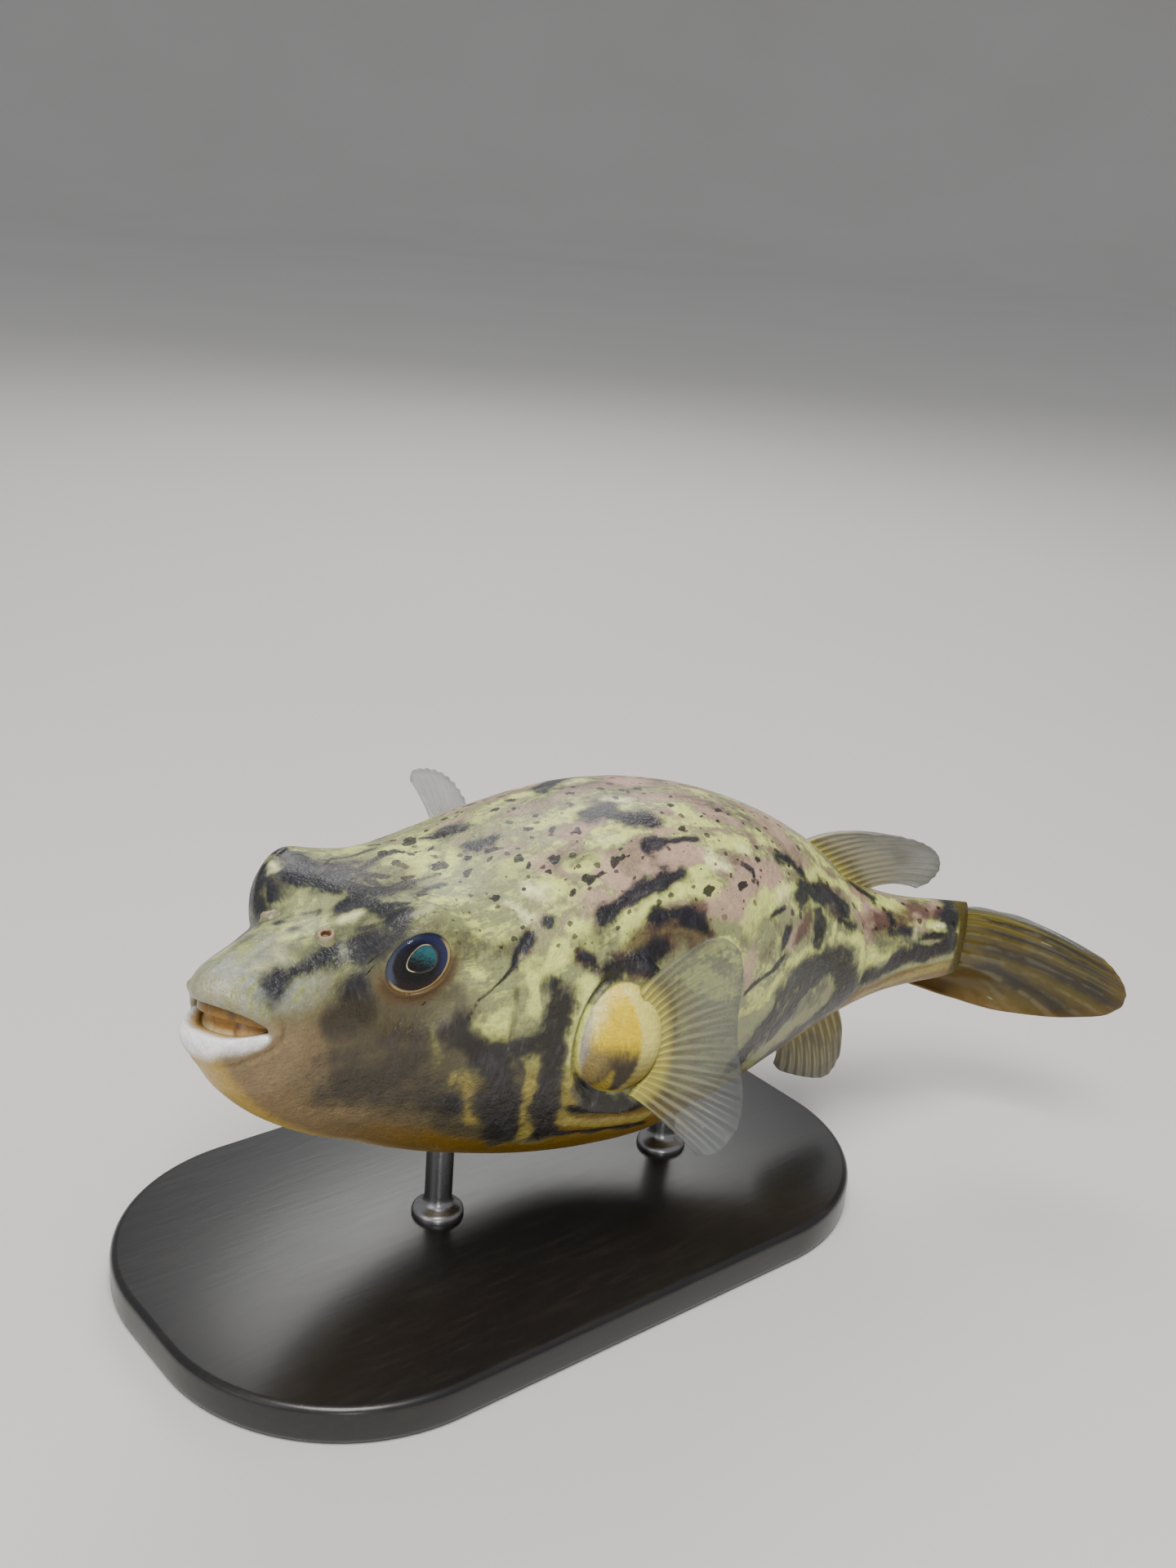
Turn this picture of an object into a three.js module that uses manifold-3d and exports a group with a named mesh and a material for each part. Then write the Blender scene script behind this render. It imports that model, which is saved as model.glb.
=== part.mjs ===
// A life-size fahaka pufferfish (Tetraodon lineatus) swimming to its left just above
// the ground, held by a low display stand. Millimetres, +Z up. The head points to -X,
// the fish's left side faces -Y, and the origin is the centre of the stand's foot.
import * as THREE from "three";
import { mergeVertices } from "three/addons/utils/BufferGeometryUtils.js";
import Module from "manifold-3d";

const wasm = await Module();
wasm.setup();

// ---- Driving dimensions ----
const STANDARD_LENGTH = 150; // snout to tail root, along the backbone
const HEAD_END = 52; // station where the head is parted from the trunk
const TRUNK_END = 118; // station where the trunk is parted from the tail stalk
const ANCHOR_STATION = 60; // the backbone's point that hangs over the stand's centre
const BACKBONE_HEIGHT = 52; // height of that point above the floor
const JOINT_GAP = 0.3; // clearance between pieces that meet
const FIN_EDGE = 0.55; // thickness of a fin at its outer margin
const STAND = { length: 126, width: 72, thick: 6, corner: 30, bevel: 1.2 };
const ROD = { radius: 2.2, frontStation: 47, rearStation: 92, collar: 4.2, collarHeight: 2.4 };
// Each eye's round opening: where it lies, the way it looks (degrees), and the ball behind it.
const EYE = { station: 25.3, side: 15.9, rise: 5.6, forward: 30, down: 6, opening: 4.4, radius: 5.9 };

// ---- Small maths helpers ----
const clamp = (x, low, high) => Math.min(high, Math.max(low, x));
const ramp = (x, from, to) => {
  const k = clamp((x - from) / (to - from), 0, 1);
  return k * k * (3 - 2 * k);
};
const bell = (x, centre, spread) => Math.exp(-(((x - centre) / spread) ** 2));
const signedPower = (x, p) => Math.sign(x) * Math.abs(x) ** p;
const mix = (a, b, k) => a + (b - a) * k;

// Reads every column of a table at x, along a smooth curve through its rows.
function readTable(rows, x) {
  const last = rows.length - 1;
  let i = 0;
  while (i < last - 1 && x > rows[i + 1][0]) i++;
  const [a, b] = [rows[i], rows[i + 1]];
  const before = rows[Math.max(i - 1, 0)];
  const after = rows[Math.min(i + 2, last)];
  const span = b[0] - a[0];
  const k = clamp((x - a[0]) / span, 0, 1);
  return a.map((_, c) => {
    const slopeA = ((b[c] - before[c]) / (b[0] - before[0])) * span;
    const slopeB = ((after[c] - a[c]) / (after[0] - a[0])) * span;
    const k2 = k * k;
    const k3 = k2 * k;
    return (
      a[c] * (2 * k3 - 3 * k2 + 1) +
      slopeA * (k3 - 2 * k2 + k) +
      b[c] * (3 * k2 - 2 * k3) +
      slopeB * (k3 - k2)
    );
  });
}

// ---- The backbone: a gentle C, concave on the fish's left ----
const yawAt = (s) => -16 * (1 - ramp(s, 8, 54)) + 13 * ramp(s, 42, 104) + 5 * ramp(s, 112, 132);
const pitchAt = (s) => -6 - 7 * ramp(s, 48, 92) + 9.5 * ramp(s, 96, 130);
const ROLL = THREE.MathUtils.degToRad(2.7);
const BACKBONE_STEP = 1;

function makeBackbone() {
  const frames = [];
  const at = new THREE.Vector3();
  for (let s = -10; s <= STANDARD_LENGTH + 60; s += BACKBONE_STEP) {
    const yaw = THREE.MathUtils.degToRad(yawAt(s));
    const pitch = THREE.MathUtils.degToRad(pitchAt(s));
    const tailward = new THREE.Vector3(
      Math.cos(pitch) * Math.cos(yaw),
      -Math.cos(pitch) * Math.sin(yaw),
      Math.sin(pitch),
    );
    const left = new THREE.Vector3(-Math.sin(yaw), -Math.cos(yaw), 0);
    const up = left.clone().cross(tailward);
    frames.push({
      s,
      at: at.clone(),
      tailward,
      left: left.clone().multiplyScalar(Math.cos(ROLL)).addScaledVector(up, Math.sin(ROLL)),
      up: up.clone().multiplyScalar(Math.cos(ROLL)).addScaledVector(left, -Math.sin(ROLL)),
    });
    at.addScaledVector(tailward, BACKBONE_STEP);
  }
  const anchor = frames.find((f) => f.s === ANCHOR_STATION).at.clone();
  frames.forEach((f) => f.at.sub(anchor).add(new THREE.Vector3(0, 0, BACKBONE_HEIGHT)));
  return frames;
}
const BACKBONE = makeBackbone();

// A point given by its station along the backbone, its side (left is positive) and its rise.
function place(station, side, rise) {
  const k = clamp((station - BACKBONE[0].s) / BACKBONE_STEP, 0, BACKBONE.length - 1.001);
  const i = Math.floor(k);
  const part = k - i;
  const [a, b] = [BACKBONE[i], BACKBONE[i + 1]];
  return a.at
    .clone()
    .lerp(b.at, part)
    .addScaledVector(a.left.clone().lerp(b.left, part), side)
    .addScaledVector(a.up.clone().lerp(b.up, part), rise);
}

// ---- The body's cross-sections ----
// ring, station, how far the sides are set back, top, widest level, bottom, half width,
// squareness above, squareness below. Rings under 0 line the mouth; 0 is the crest of the lips.
const SECTIONS = [
  [-9, 11, 0, 0.4, -1.8, -3.0, 2.4, 2.0, 2.0],
  [-6, 6, 3.4, 1.8, -2.2, -3.8, 5.6, 2.0, 2.6],
  [-3, 1.7, 5.4, 1.2, -2.6, -3.3, 6.2, 1.8, 3.4],
  [-1.2, -0.2, 5.9, 1.5, -2.8, -3.1, 6.8, 1.7, 3.6],
  [0, -0.6, 6.2, 3.0, -2.8, -4.9, 7.5, 1.7, 3.0],
  [1.5, 0.7, 5.9, 4.5, -2.6, -7.3, 8.2, 1.75, 2.6],
  [3, 2.4, 5.2, 5.3, -2.5, -9.6, 8.8, 1.8, 2.3],
  [6, 5.6, 3.8, 6.1, -2.8, -13.6, 9.9, 1.8, 2.2],
  [12, 12, 1.7, 7.9, -3.2, -18.9, 10.8, 1.9, 2.3],
  [20, 20, 0, 10.1, -3.0, -23.4, 13.6, 2.3, 2.3],
  [26, 26, 0, 13.4, -0.4, -25.6, 16.9, 3.4, 2.3],
  [33, 33, 0, 13.6, 0.0, -28.4, 20.2, 3.0, 2.3],
  [42, 42, 0, 14.9, -1.2, -31.0, 22.8, 2.5, 2.3],
  [56, 56, 0, 19.4, -2.0, -33.5, 25.4, 2.3, 2.3],
  [70, 70, 0, 23.6, -1.0, -34.0, 26.4, 2.2, 2.3],
  [84, 84, 0, 24.9, 0.0, -32.4, 25.0, 2.2, 2.3],
  [98, 98, 0, 23.4, 0.0, -27.0, 20.4, 2.2, 2.2],
  [110, 110, 0, 19.8, 0.0, -20.0, 15.0, 2.1, 2.1],
  [122, 122, 0, 12.6, 0.0, -13.8, 10.0, 2.0, 2.0],
  [134, 134, 0, 8.2, 0.0, -9.6, 6.4, 2.0, 2.0],
  [150, 150, 0, 6.4, 0.0, -7.4, 4.2, 2.0, 2.0],
];

// The way an eye looks, in the body's own directions: station, side and rise.
function eyeAxis(mirror) {
  const forward = THREE.MathUtils.degToRad(EYE.forward);
  const down = THREE.MathUtils.degToRad(EYE.down);
  const level = Math.cos(down);
  return new THREE.Vector3(
    -Math.sin(forward) * level,
    Math.cos(forward) * level * mirror,
    -Math.sin(down),
  );
}
const eyeOpening = (mirror) => new THREE.Vector3(EYE.station, EYE.side * mirror, EYE.rise);

// Lays the skin round an eye on a gentle dome that looks the eye's way.
const EYE_DOME = { stand: 0.5, curve: 50, full: 4.4, fade: 12 };
function settleRoundEye(point, mirror) {
  const axis = eyeAxis(mirror);
  const away = point.clone().sub(eyeOpening(mirror));
  const height = away.dot(axis);
  const across = Math.sqrt(Math.max(0, away.lengthSq() - height ** 2));
  const weight = (1 - ramp(across, EYE_DOME.full, EYE_DOME.fade)) * ramp(height, -12, -7);
  const target = EYE_DOME.stand - across ** 2 / EYE_DOME.curve;
  return point.addScaledVector(axis, (target - height) * weight);
}

// Swells of the head above each eye, and the dip across the forehead between them.
const BROW = { station: 28, side: 13.5, rise: 10, height: 2, reach: 9 };
function brow(point, mirror) {
  const centre = new THREE.Vector3(BROW.station, BROW.side * mirror, BROW.rise);
  const share = Math.min(1, point.distanceTo(centre) / BROW.reach);
  const swell = BROW.height * (1 - share ** 2) ** 2;
  return point.add(new THREE.Vector3(0, 0.35 * mirror, 0.94).multiplyScalar(swell));
}
const foreheadDip = (ring, side, upward) =>
  1.7 * bell(ring, 26.5, 8.5) * bell(side, 0, 9.5) * ramp(upward, 0.2, 0.8);

// Point of the body's surface on one ring, at an angle that starts at the fish's left and
// rises over its back. grow moves the surface outwards.
function skinPoint(ring, angle, grow = 0) {
  const [, station, setBack, top, middle, bottom, halfWidth, squareTop, squareBottom] =
    readTable(SECTIONS, ring);
  const across = Math.cos(angle);
  const upward = Math.sin(angle);
  const power = 2 / mix(squareBottom, squareTop, ramp(upward, -0.5, 0.5));
  const height = upward > 0 ? top - middle : middle - bottom;
  const side = signedPower(across, power) * (halfWidth + grow);
  const rise = middle + signedPower(upward, power) * (height + grow);
  const mirror = side < 0 ? -1 : 1;
  const point = new THREE.Vector3(
    station + setBack * across * across,
    side,
    rise - foreheadDip(ring, side, upward),
  );
  const settled = settleRoundEye(brow(point, mirror), mirror);
  return place(settled.x, settled.y, settled.z);
}

// ---- Turning points into closed solids ----
// grid[i][j] are rings of points; the first and last ring are closed with a fan, or the
// rings join end to end when looped.
function ringSolid(grid, looped = false) {
  const around = grid[0].length;
  const points = grid.flat();
  const faces = [];
  const joins = looped ? grid.length : grid.length - 1;
  for (let i = 0; i < joins; i++)
    for (let j = 0; j < around; j++) {
      const a = i * around + j;
      const b = i * around + ((j + 1) % around);
      const c = ((i + 1) % grid.length) * around + ((j + 1) % around);
      const d = ((i + 1) % grid.length) * around + j;
      faces.push(a, b, c, a, c, d);
    }
  if (!looped)
    [0, grid.length - 1].forEach((i) => {
      const centre = new THREE.Vector3();
      grid[i].forEach((p) => centre.addScaledVector(p, 1 / around));
      const hub = points.push(centre) - 1;
      for (let j = 0; j < around; j++) {
        const a = i * around + j;
        const b = i * around + ((j + 1) % around);
        faces.push(...(i === 0 ? [b, a, hub] : [a, b, hub]));
      }
    });
  const geometry = new THREE.BufferGeometry().setFromPoints(points);
  geometry.setIndex(faces);
  return solidFrom(geometry);
}

// A closed three.js geometry as a manifold solid that faces outwards.
function solidFrom(geometry) {
  const bare = geometry.clone();
  ["normal", "uv"].forEach((name) => bare.deleteAttribute(name));
  const merged = mergeVertices(bare, 1e-4);
  const build = (triVerts) =>
    new wasm.Manifold(
      new wasm.Mesh({ numProp: 3, vertProperties: merged.attributes.position.array, triVerts }),
    );
  const solid = build(new Uint32Array(merged.index.array));
  return solid.volume() > 0 ? solid : build(new Uint32Array(merged.index.array).reverse());
}

function geometryFrom(solid) {
  const mesh = solid.getMesh();
  const geometry = new THREE.BufferGeometry();
  geometry.setAttribute("position", new THREE.BufferAttribute(mesh.vertProperties, 3));
  geometry.setIndex(new THREE.BufferAttribute(mesh.triVerts, 1));
  geometry.computeVertexNormals();
  return geometry;
}

// ---- The body, as lofted lengths ----
const anglesAround = (count) => Array.from({ length: count }, (_, j) => (j / count) * 2 * Math.PI);
const BODY_ANGLES = anglesAround(32);
const FACE_ANGLES = anglesAround(40);
const ringAt = (ring, angles, grow = 0) => angles.map((angle) => skinPoint(ring, angle, grow));

function bodyLength(from, to, rings, grow = 0) {
  const grid = Array.from({ length: rings + 1 }, (_, i) =>
    ringAt(mix(from, to, i / rings), BODY_ANGLES, grow),
  );
  return ringSolid(grid);
}

const solidBody = bodyLength(1.5, STANDARD_LENGTH, 40, JOINT_GAP); // what other pieces keep clear of
const halfGap = JOINT_GAP / 2;

// The lips are one torus-like roll round the mouth; the head begins a gap behind them.
const LIP_RINGS = [-3, -2, -1.2, -0.5, 0.2, 1, 2, 3];
const lipRoll = ringSolid(LIP_RINGS.map((ring) => ringAt(ring, FACE_ANGLES)), true);
const snoutward = place(-1, 0, 0).sub(place(0, 0, 0));
const behindLips = (ring) =>
  ringAt(ring, FACE_ANGLES).map((p) => p.addScaledVector(snoutward, -JOINT_GAP));
function makeHead() {
  const lining = [-9, -7.5, -6, -4.5].map((ring) => ringAt(ring, FACE_ANGLES));
  const front = [behindLips(-3), behindLips(3)];
  const steps = 23;
  const face = Array.from({ length: steps + 1 }, (_, i) =>
    ringAt(mix(4.6, HEAD_END - halfGap, i / steps), FACE_ANGLES),
  );
  return ringSolid([...lining, ...front, ...face]);
}

// ---- Eyes: full balls set in sockets, seen through round openings ----
const RIM_DEPTH = Math.sqrt(EYE.radius ** 2 - EYE.opening ** 2); // ball's centre to the rim's plane
function eyeFrame(mirror) {
  const axis = eyeAxis(mirror);
  const inner = eyeOpening(mirror).addScaledVector(axis, -RIM_DEPTH);
  const outer = inner.clone().add(axis);
  const centre = place(inner.x, inner.y, inner.z);
  return { centre, look: place(outer.x, outer.y, outer.z).sub(centre).normalize() };
}
function eyeBall(mirror, radius, segments = 16) {
  const { centre } = eyeFrame(mirror);
  const geometry = new THREE.SphereGeometry(radius, segments, Math.round(segments * 0.7));
  geometry.translate(centre.x, centre.y, centre.z);
  return solidFrom(geometry);
}
// A cone from the ball's centre out through the rim of the lids.
function lidOpening(mirror) {
  const { centre, look } = eyeFrame(mirror);
  const reach = RIM_DEPTH + 2.5;
  const geometry = new THREE.ConeGeometry((reach * EYE.opening) / RIM_DEPTH, reach, 24);
  geometry.translate(0, -reach / 2, 0);
  const down = new THREE.Vector3(0, -1, 0);
  geometry.applyQuaternion(new THREE.Quaternion().setFromUnitVectors(down, look));
  geometry.translate(centre.x, centre.y, centre.z);
  return solidFrom(geometry);
}

let head = makeHead();
[1, -1].forEach((mirror) => {
  head = head
    .subtract(eyeBall(mirror, EYE.radius + JOINT_GAP, 14))
    .subtract(lidOpening(mirror));
});
const trunk = bodyLength(HEAD_END + halfGap, TRUNK_END - halfGap, 13);
const tailStalk = bodyLength(TRUNK_END + halfGap, STANDARD_LENGTH, 8);

// ---- Lips, beak and nostrils ----
function boxSolid(centre, size) {
  const geometry = new THREE.BoxGeometry(...size);
  geometry.translate(centre.x, centre.y, centre.z);
  return solidFrom(geometry);
}
const mouthCentre = place(4, 0, -2.2);
const HALF_SPACE = 60;
function lipHalf(upper) {
  const offset = (HALF_SPACE / 2 + halfGap) * (upper ? 1 : -1);
  const centre = mouthCentre.clone().add(new THREE.Vector3(0, 0, offset));
  return lipRoll.intersect(boxSolid(centre, [HALF_SPACE, HALF_SPACE, HALF_SPACE]));
}

// A tooth plate: a bowed wall inside the lips, the upper hanging and the lower standing.
const BEAK = { halfWidth: 4.4, bow: 2.7, thick: 1.2, station: 1.9, level: -1.2 };
function beakPlate(rootRise, edge) {
  const steps = 12;
  const grid = Array.from({ length: steps + 1 }, (_, i) => {
    const across = mix(-1, 1, i / steps);
    const front = BEAK.station + BEAK.bow * across * across;
    const side = across * BEAK.halfWidth;
    const root = BEAK.level + (rootRise - BEAK.level) * Math.sqrt(1 - 0.86 * across * across);
    return [
      place(front, side, root),
      place(front, side, edge),
      place(front + BEAK.thick, side * 0.86, edge),
      place(front + BEAK.thick, side * 0.86, root),
    ];
  });
  return ringSolid(grid);
}

const NOSTRIL = { station: 17.2, side: 5.4, radius: 1, height: 1.7 };
function nostril(mirror) {
  const [, , , top, middle, , halfWidth, square] = readTable(SECTIONS, NOSTRIL.station);
  const share = Math.abs(NOSTRIL.side / halfWidth) ** square;
  const surface = middle + (top - middle) * (1 - share) ** (1 / square);
  const root = place(NOSTRIL.station, NOSTRIL.side * mirror, surface - 0.6);
  const tip = place(NOSTRIL.station, NOSTRIL.side * 1.1 * mirror, surface + NOSTRIL.height);
  const curve = new THREE.LineCurve3(root, tip);
  const outline = new THREE.Shape().absarc(0, 0, NOSTRIL.radius, 0, 2 * Math.PI);
  const geometry = new THREE.ExtrudeGeometry(outline, {
    steps: 1,
    extrudePath: curve,
    curveSegments: 5,
  });
  return solidFrom(geometry).subtract(solidBody);
}

// ---- Fins ----
// A fin is a fan of rays between a root line and a margin. root(u) and reach(u) give a
// body-frame point and a body-frame direction; cup bows the rays sideways.
const toWorld = (p) => place(p[0], p[1], p[2]);
function rayPoint(fin, u, v) {
  const root = readTable(fin.roots, u).slice(1);
  const reach = readTable(fin.reaches, u).slice(1);
  const bow = fin.bow ?? [0, 0, 0];
  const arch = v * (1 - v) * 4;
  return toWorld(root.map((r, c) => r + reach[c] * v + bow[c] * arch));
}
function finNormal(fin, u, v) {
  const step = 0.02;
  const alongRoot = rayPoint(fin, clamp(u + step, 0, 1), v).sub(rayPoint(fin, clamp(u - step, 0, 1), v));
  const alongRay = rayPoint(fin, u, clamp(v + step, 0, 1)).sub(rayPoint(fin, u, clamp(v - step, 0, 1)));
  return alongRoot.cross(alongRay).normalize();
}
function finSolid(fin, rays = 14, steps = 5) {
  const sheets = [1, -1].map((face) =>
    Array.from({ length: rays + 1 }, (_, i) =>
      Array.from({ length: steps + 1 }, (_, j) => {
        const [u, v] = [i / rays, j / steps];
        const half = mix(fin.rootThick, FIN_EDGE, v ** 0.6) / 2;
        return rayPoint(fin, u, v).addScaledVector(finNormal(fin, u, v), face * half);
      }),
    ),
  );
  // Each ray's loop runs out along one face and back along the other.
  return ringSolid(sheets[0].map((row, i) => [...row, ...sheets[1][i].toReversed()]));
}

// Rows are: place along the root from first ray to last, then station, side, rise.
const DORSAL = {
  rootThick: 1.8,
  roots: [[0, 111.5, 0, 17.5], [0.5, 119, 0, 13], [1, 126.5, 0, 8.6]],
  reaches: [[0, 14.6, 6, 4.1], [0.25, 17.3, 7, 5.4], [0.5, 18, 7, 5.4], [0.75, 16, 6, 4], [1, 11, 3.5, 2.2]],
  bow: [0, -0.8, 1.2],
};
const ANAL = {
  rootThick: 1.6,
  roots: [[0, 114, 0, -15.2], [0.5, 119.5, 0, -12.8], [1, 125, 0, -10.4]],
  reaches: [[0, 2.5, 0, -9], [0.35, 4.2, 0, -12.6], [0.7, 5.2, 0, -14.6], [1, 4, 0, -11.5]],
  bow: [0.8, 0.4, 0],
};
const CAUDAL = {
  rootThick: 3.2,
  roots: [[0, 148.5, 0, 5.6], [0.25, 149.6, 0, 3.6], [0.5, 150, 0, 0], [0.75, 149.6, 0, -4.4], [1, 147, 0, -6.6]],
  reaches: [
    [0, 21.5, 14, -4.4], [0.25, 24.5, 15.6, -6.4], [0.5, 26.5, 16, -7.2],
    [0.7, 25, 12, -8.8], [0.86, 14, 1, -10.2], [1, 0, -8, -8.2],
  ],
  bow: [1.2, -3.2, 0.8],
};
const PECTORAL_LEFT = {
  rootThick: 2.2,
  roots: [
    [0, 62.4, 28, 1.6], [0.25, 65.8, 28.6, -2.2], [0.5, 67.6, 29.2, -7],
    [0.75, 66.6, 29.6, -11.4], [1, 62.7, 29.8, -14.8],
  ],
  reaches: [
    [0, 5, 6.6, 10], [0.12, 8, 7.2, 12], [0.25, 8.8, 7.8, 10.3], [0.5, 7.9, 7.6, 5.6],
    [0.62, 10.4, 8, 2.6], [0.75, 14.2, 8.4, -1.2], [0.88, 15.8, 8.6, -5.6], [1, 10.4, 8.6, -7.6],
  ],
  bow: [0.5, -0.8, 0],
};
const PECTORAL_RIGHT = {
  rootThick: 2.2,
  roots: [
    [0, 62.4, -28, 3.8], [0.25, 65.8, -28.6, 0], [0.5, 67.6, -29.2, -4.6],
    [0.75, 66.6, -29.6, -9], [1, 62.7, -29.8, -12.4],
  ],
  reaches: [
    [0, -1.7, -12, 11.3], [0.15, -0.3, -12.5, 13.8], [0.3, 1.5, -12.5, 15], [0.5, 3.9, -12, 14.4],
    [0.7, 7.5, -11.5, 11], [0.85, 9.5, -10, 4.8], [1, 8.9, -9, -2.2],
  ],
  bow: [0.5, 0.8, 0],
};

// The fleshy root of each pectoral fin: a pad that stands further out towards its rear edge.
const LOBE = { station: 60.5, rise: { left: -6.7, right: -4.5 }, long: 6.6, high: 8.5, stand: 4.6, flare: 0.42 };
function pectoralLobe(side, mirror, grow = 0) {
  const geometry = new THREE.SphereGeometry(1, 18, 12);
  const position = geometry.attributes.position;
  const halfWidth = readTable(SECTIONS, LOBE.station)[6];
  for (let i = 0; i < position.count; i++) {
    const p = new THREE.Vector3().fromBufferAttribute(position, i);
    const along = p.x * (LOBE.long + grow);
    const out = halfWidth - 0.6 + p.z * (LOBE.stand + grow) + LOBE.flare * along;
    const rise = LOBE.rise[side] + p.y * (LOBE.high + grow);
    const world = place(LOBE.station + along, out * mirror, rise);
    position.setXYZ(i, world.x, world.y, world.z);
  }
  return solidFrom(geometry);
}

// ---- The stand ----
function standBase() {
  const { length, width, thick, corner, bevel } = STAND;
  const [x, y, r] = [length / 2 - bevel, width / 2 - bevel, corner];
  const outline = new THREE.Shape()
    .moveTo(-x + r, -y)
    .lineTo(x - r, -y)
    .absarc(x - r, -y + r, r, -Math.PI / 2, 0)
    .lineTo(x, y - r)
    .absarc(x - r, y - r, r, 0, Math.PI / 2)
    .lineTo(-x + r, y)
    .absarc(-x + r, y - r, r, Math.PI / 2, Math.PI)
    .lineTo(-x, -y + r)
    .absarc(-x + r, -y + r, r, Math.PI, 1.5 * Math.PI);
  const geometry = new THREE.ExtrudeGeometry(outline, {
    depth: thick - bevel,
    bevelSize: bevel,
    bevelThickness: bevel,
    bevelSegments: 2,
    curveSegments: 7,
  });
  // The lower bevel is cut away, so the foot is one flat face at the floor.
  const plate = solidFrom(geometry);
  const below = boxSolid(new THREE.Vector3(0, 0, -10), [400, 400, 20]);
  return plate.subtract(below);
}
function standRod(station) {
  const foot = place(station, 0, 0);
  const { radius, collar, collarHeight } = ROD;
  const top = BACKBONE_HEIGHT;
  const profile = [
    [0, 0], [collar, 0], [collar, collarHeight * 0.6], [radius, collarHeight], [radius, top], [0, top],
  ].map(([x, y]) => new THREE.Vector2(x, y));
  const geometry = new THREE.LatheGeometry(profile, 16);
  geometry.rotateX(Math.PI / 2);
  geometry.translate(foot.x, foot.y, STAND.thick + JOINT_GAP);
  return solidFrom(geometry).subtract(solidBody);
}

// ---- Materials ----
const finish = (color, roughness, metalness = 0) =>
  new THREE.MeshStandardMaterial({ color, roughness, metalness });
const SKIN = finish(0x8f8a62, 0.4);
const LIP = finish(0xd8d2b4, 0.4);
const TOOTH = finish(0xc79a4e, 0.35);
const EYEBALL = finish(0x1c2233, 0.1);
const FIN = finish(0xb5a64a, 0.45);
const PLATE = finish(0x2b2c2e, 0.5);
const STEEL = finish(0x9a9c9e, 0.3, 1);

// ---- Putting it together ----
const object = new THREE.Group();
function add(name, solid, material) {
  const mesh = new THREE.Mesh(geometryFrom(solid), material);
  mesh.name = name;
  object.add(mesh);
}
// The largest piece of a solid, without the slivers that a cut can leave.
const largest = (solid) =>
  solid.decompose().reduce((best, piece) => (piece.volume() > best.volume() ? piece : best));

add("head", largest(head), SKIN);
add("trunk", trunk, SKIN);
add("tail_stalk", tailStalk, SKIN);
add("upper_lip", largest(lipHalf(true)), LIP);
add("lower_lip", largest(lipHalf(false)), LIP);
add("upper_beak", beakPlate(0.8, -0.9), TOOTH);
add("lower_beak", beakPlate(-2.8, -1.35), TOOTH);
[["left", 1, PECTORAL_LEFT], ["right", -1, PECTORAL_RIGHT]].forEach(([side, mirror, fin]) => {
  add(side + "_eye", eyeBall(mirror, EYE.radius), EYEBALL);
  add(side + "_nostril", largest(nostril(mirror)), SKIN);
  add(side + "_pectoral_base", largest(pectoralLobe(side, mirror).subtract(solidBody)), SKIN);
  const clear = pectoralLobe(side, mirror, JOINT_GAP).add(solidBody);
  add(side + "_pectoral_fin", largest(finSolid(fin).subtract(clear)), FIN);
});
add("dorsal_fin", largest(finSolid(DORSAL, 10, 5).subtract(solidBody)), FIN);
add("anal_fin", largest(finSolid(ANAL, 8, 5).subtract(solidBody)), FIN);
add("caudal_fin", largest(finSolid(CAUDAL, 14, 6).subtract(solidBody)), FIN);
add("stand_base", standBase(), PLATE);
add("stand_rod_front", largest(standRod(ROD.frontStation)), STEEL);
add("stand_rod_rear", largest(standRod(ROD.rearStation)), STEEL);

export default object;
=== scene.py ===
"""Looks for a life-size fahaka pufferfish model on its display stand.

Lengths in the tables are millimetres in the fish's own directions: station along the
backbone from the lips, side (left is positive) and rise. Meshes are in metres.
"""

import math
from contextlib import contextmanager

import bpy
import numpy as np
from mathutils import Matrix, Vector


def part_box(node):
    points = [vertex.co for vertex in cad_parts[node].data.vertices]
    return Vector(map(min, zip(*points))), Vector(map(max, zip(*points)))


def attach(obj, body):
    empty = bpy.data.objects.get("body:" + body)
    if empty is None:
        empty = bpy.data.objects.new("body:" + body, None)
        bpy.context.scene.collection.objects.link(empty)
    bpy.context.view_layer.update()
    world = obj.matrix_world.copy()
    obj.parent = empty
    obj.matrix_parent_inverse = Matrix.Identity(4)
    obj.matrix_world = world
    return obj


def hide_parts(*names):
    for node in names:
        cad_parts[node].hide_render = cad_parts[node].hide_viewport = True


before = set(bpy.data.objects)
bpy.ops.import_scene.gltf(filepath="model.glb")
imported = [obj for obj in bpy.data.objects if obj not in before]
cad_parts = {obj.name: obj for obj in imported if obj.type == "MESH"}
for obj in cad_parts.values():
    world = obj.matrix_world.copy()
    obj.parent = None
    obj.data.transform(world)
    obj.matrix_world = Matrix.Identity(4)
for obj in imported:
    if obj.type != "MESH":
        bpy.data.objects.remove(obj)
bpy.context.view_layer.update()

bl_info = {
    "name": "Fahaka Pufferfish",
    "version": (1, 0, 0),
    "blender": (4, 5, 0),
    "location": "3D View > Sidebar > Puffer",
    "description": "Builds a pufferfish model with its fins, eyes and display stand",
    "category": "Add Mesh",
}

MM = 0.001
WELD = 1e-5

# ---- The fish's form ----
ANCHOR_STATION = 60
BACKBONE_HEIGHT = 52
STANDARD_LENGTH = 150
ROLL = math.radians(2.7)
# The tail root closes roundly from here on, inside the tail fin.
TAIL_ROUNDING = 141
FOREHEAD_DIP = 1.7

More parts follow.
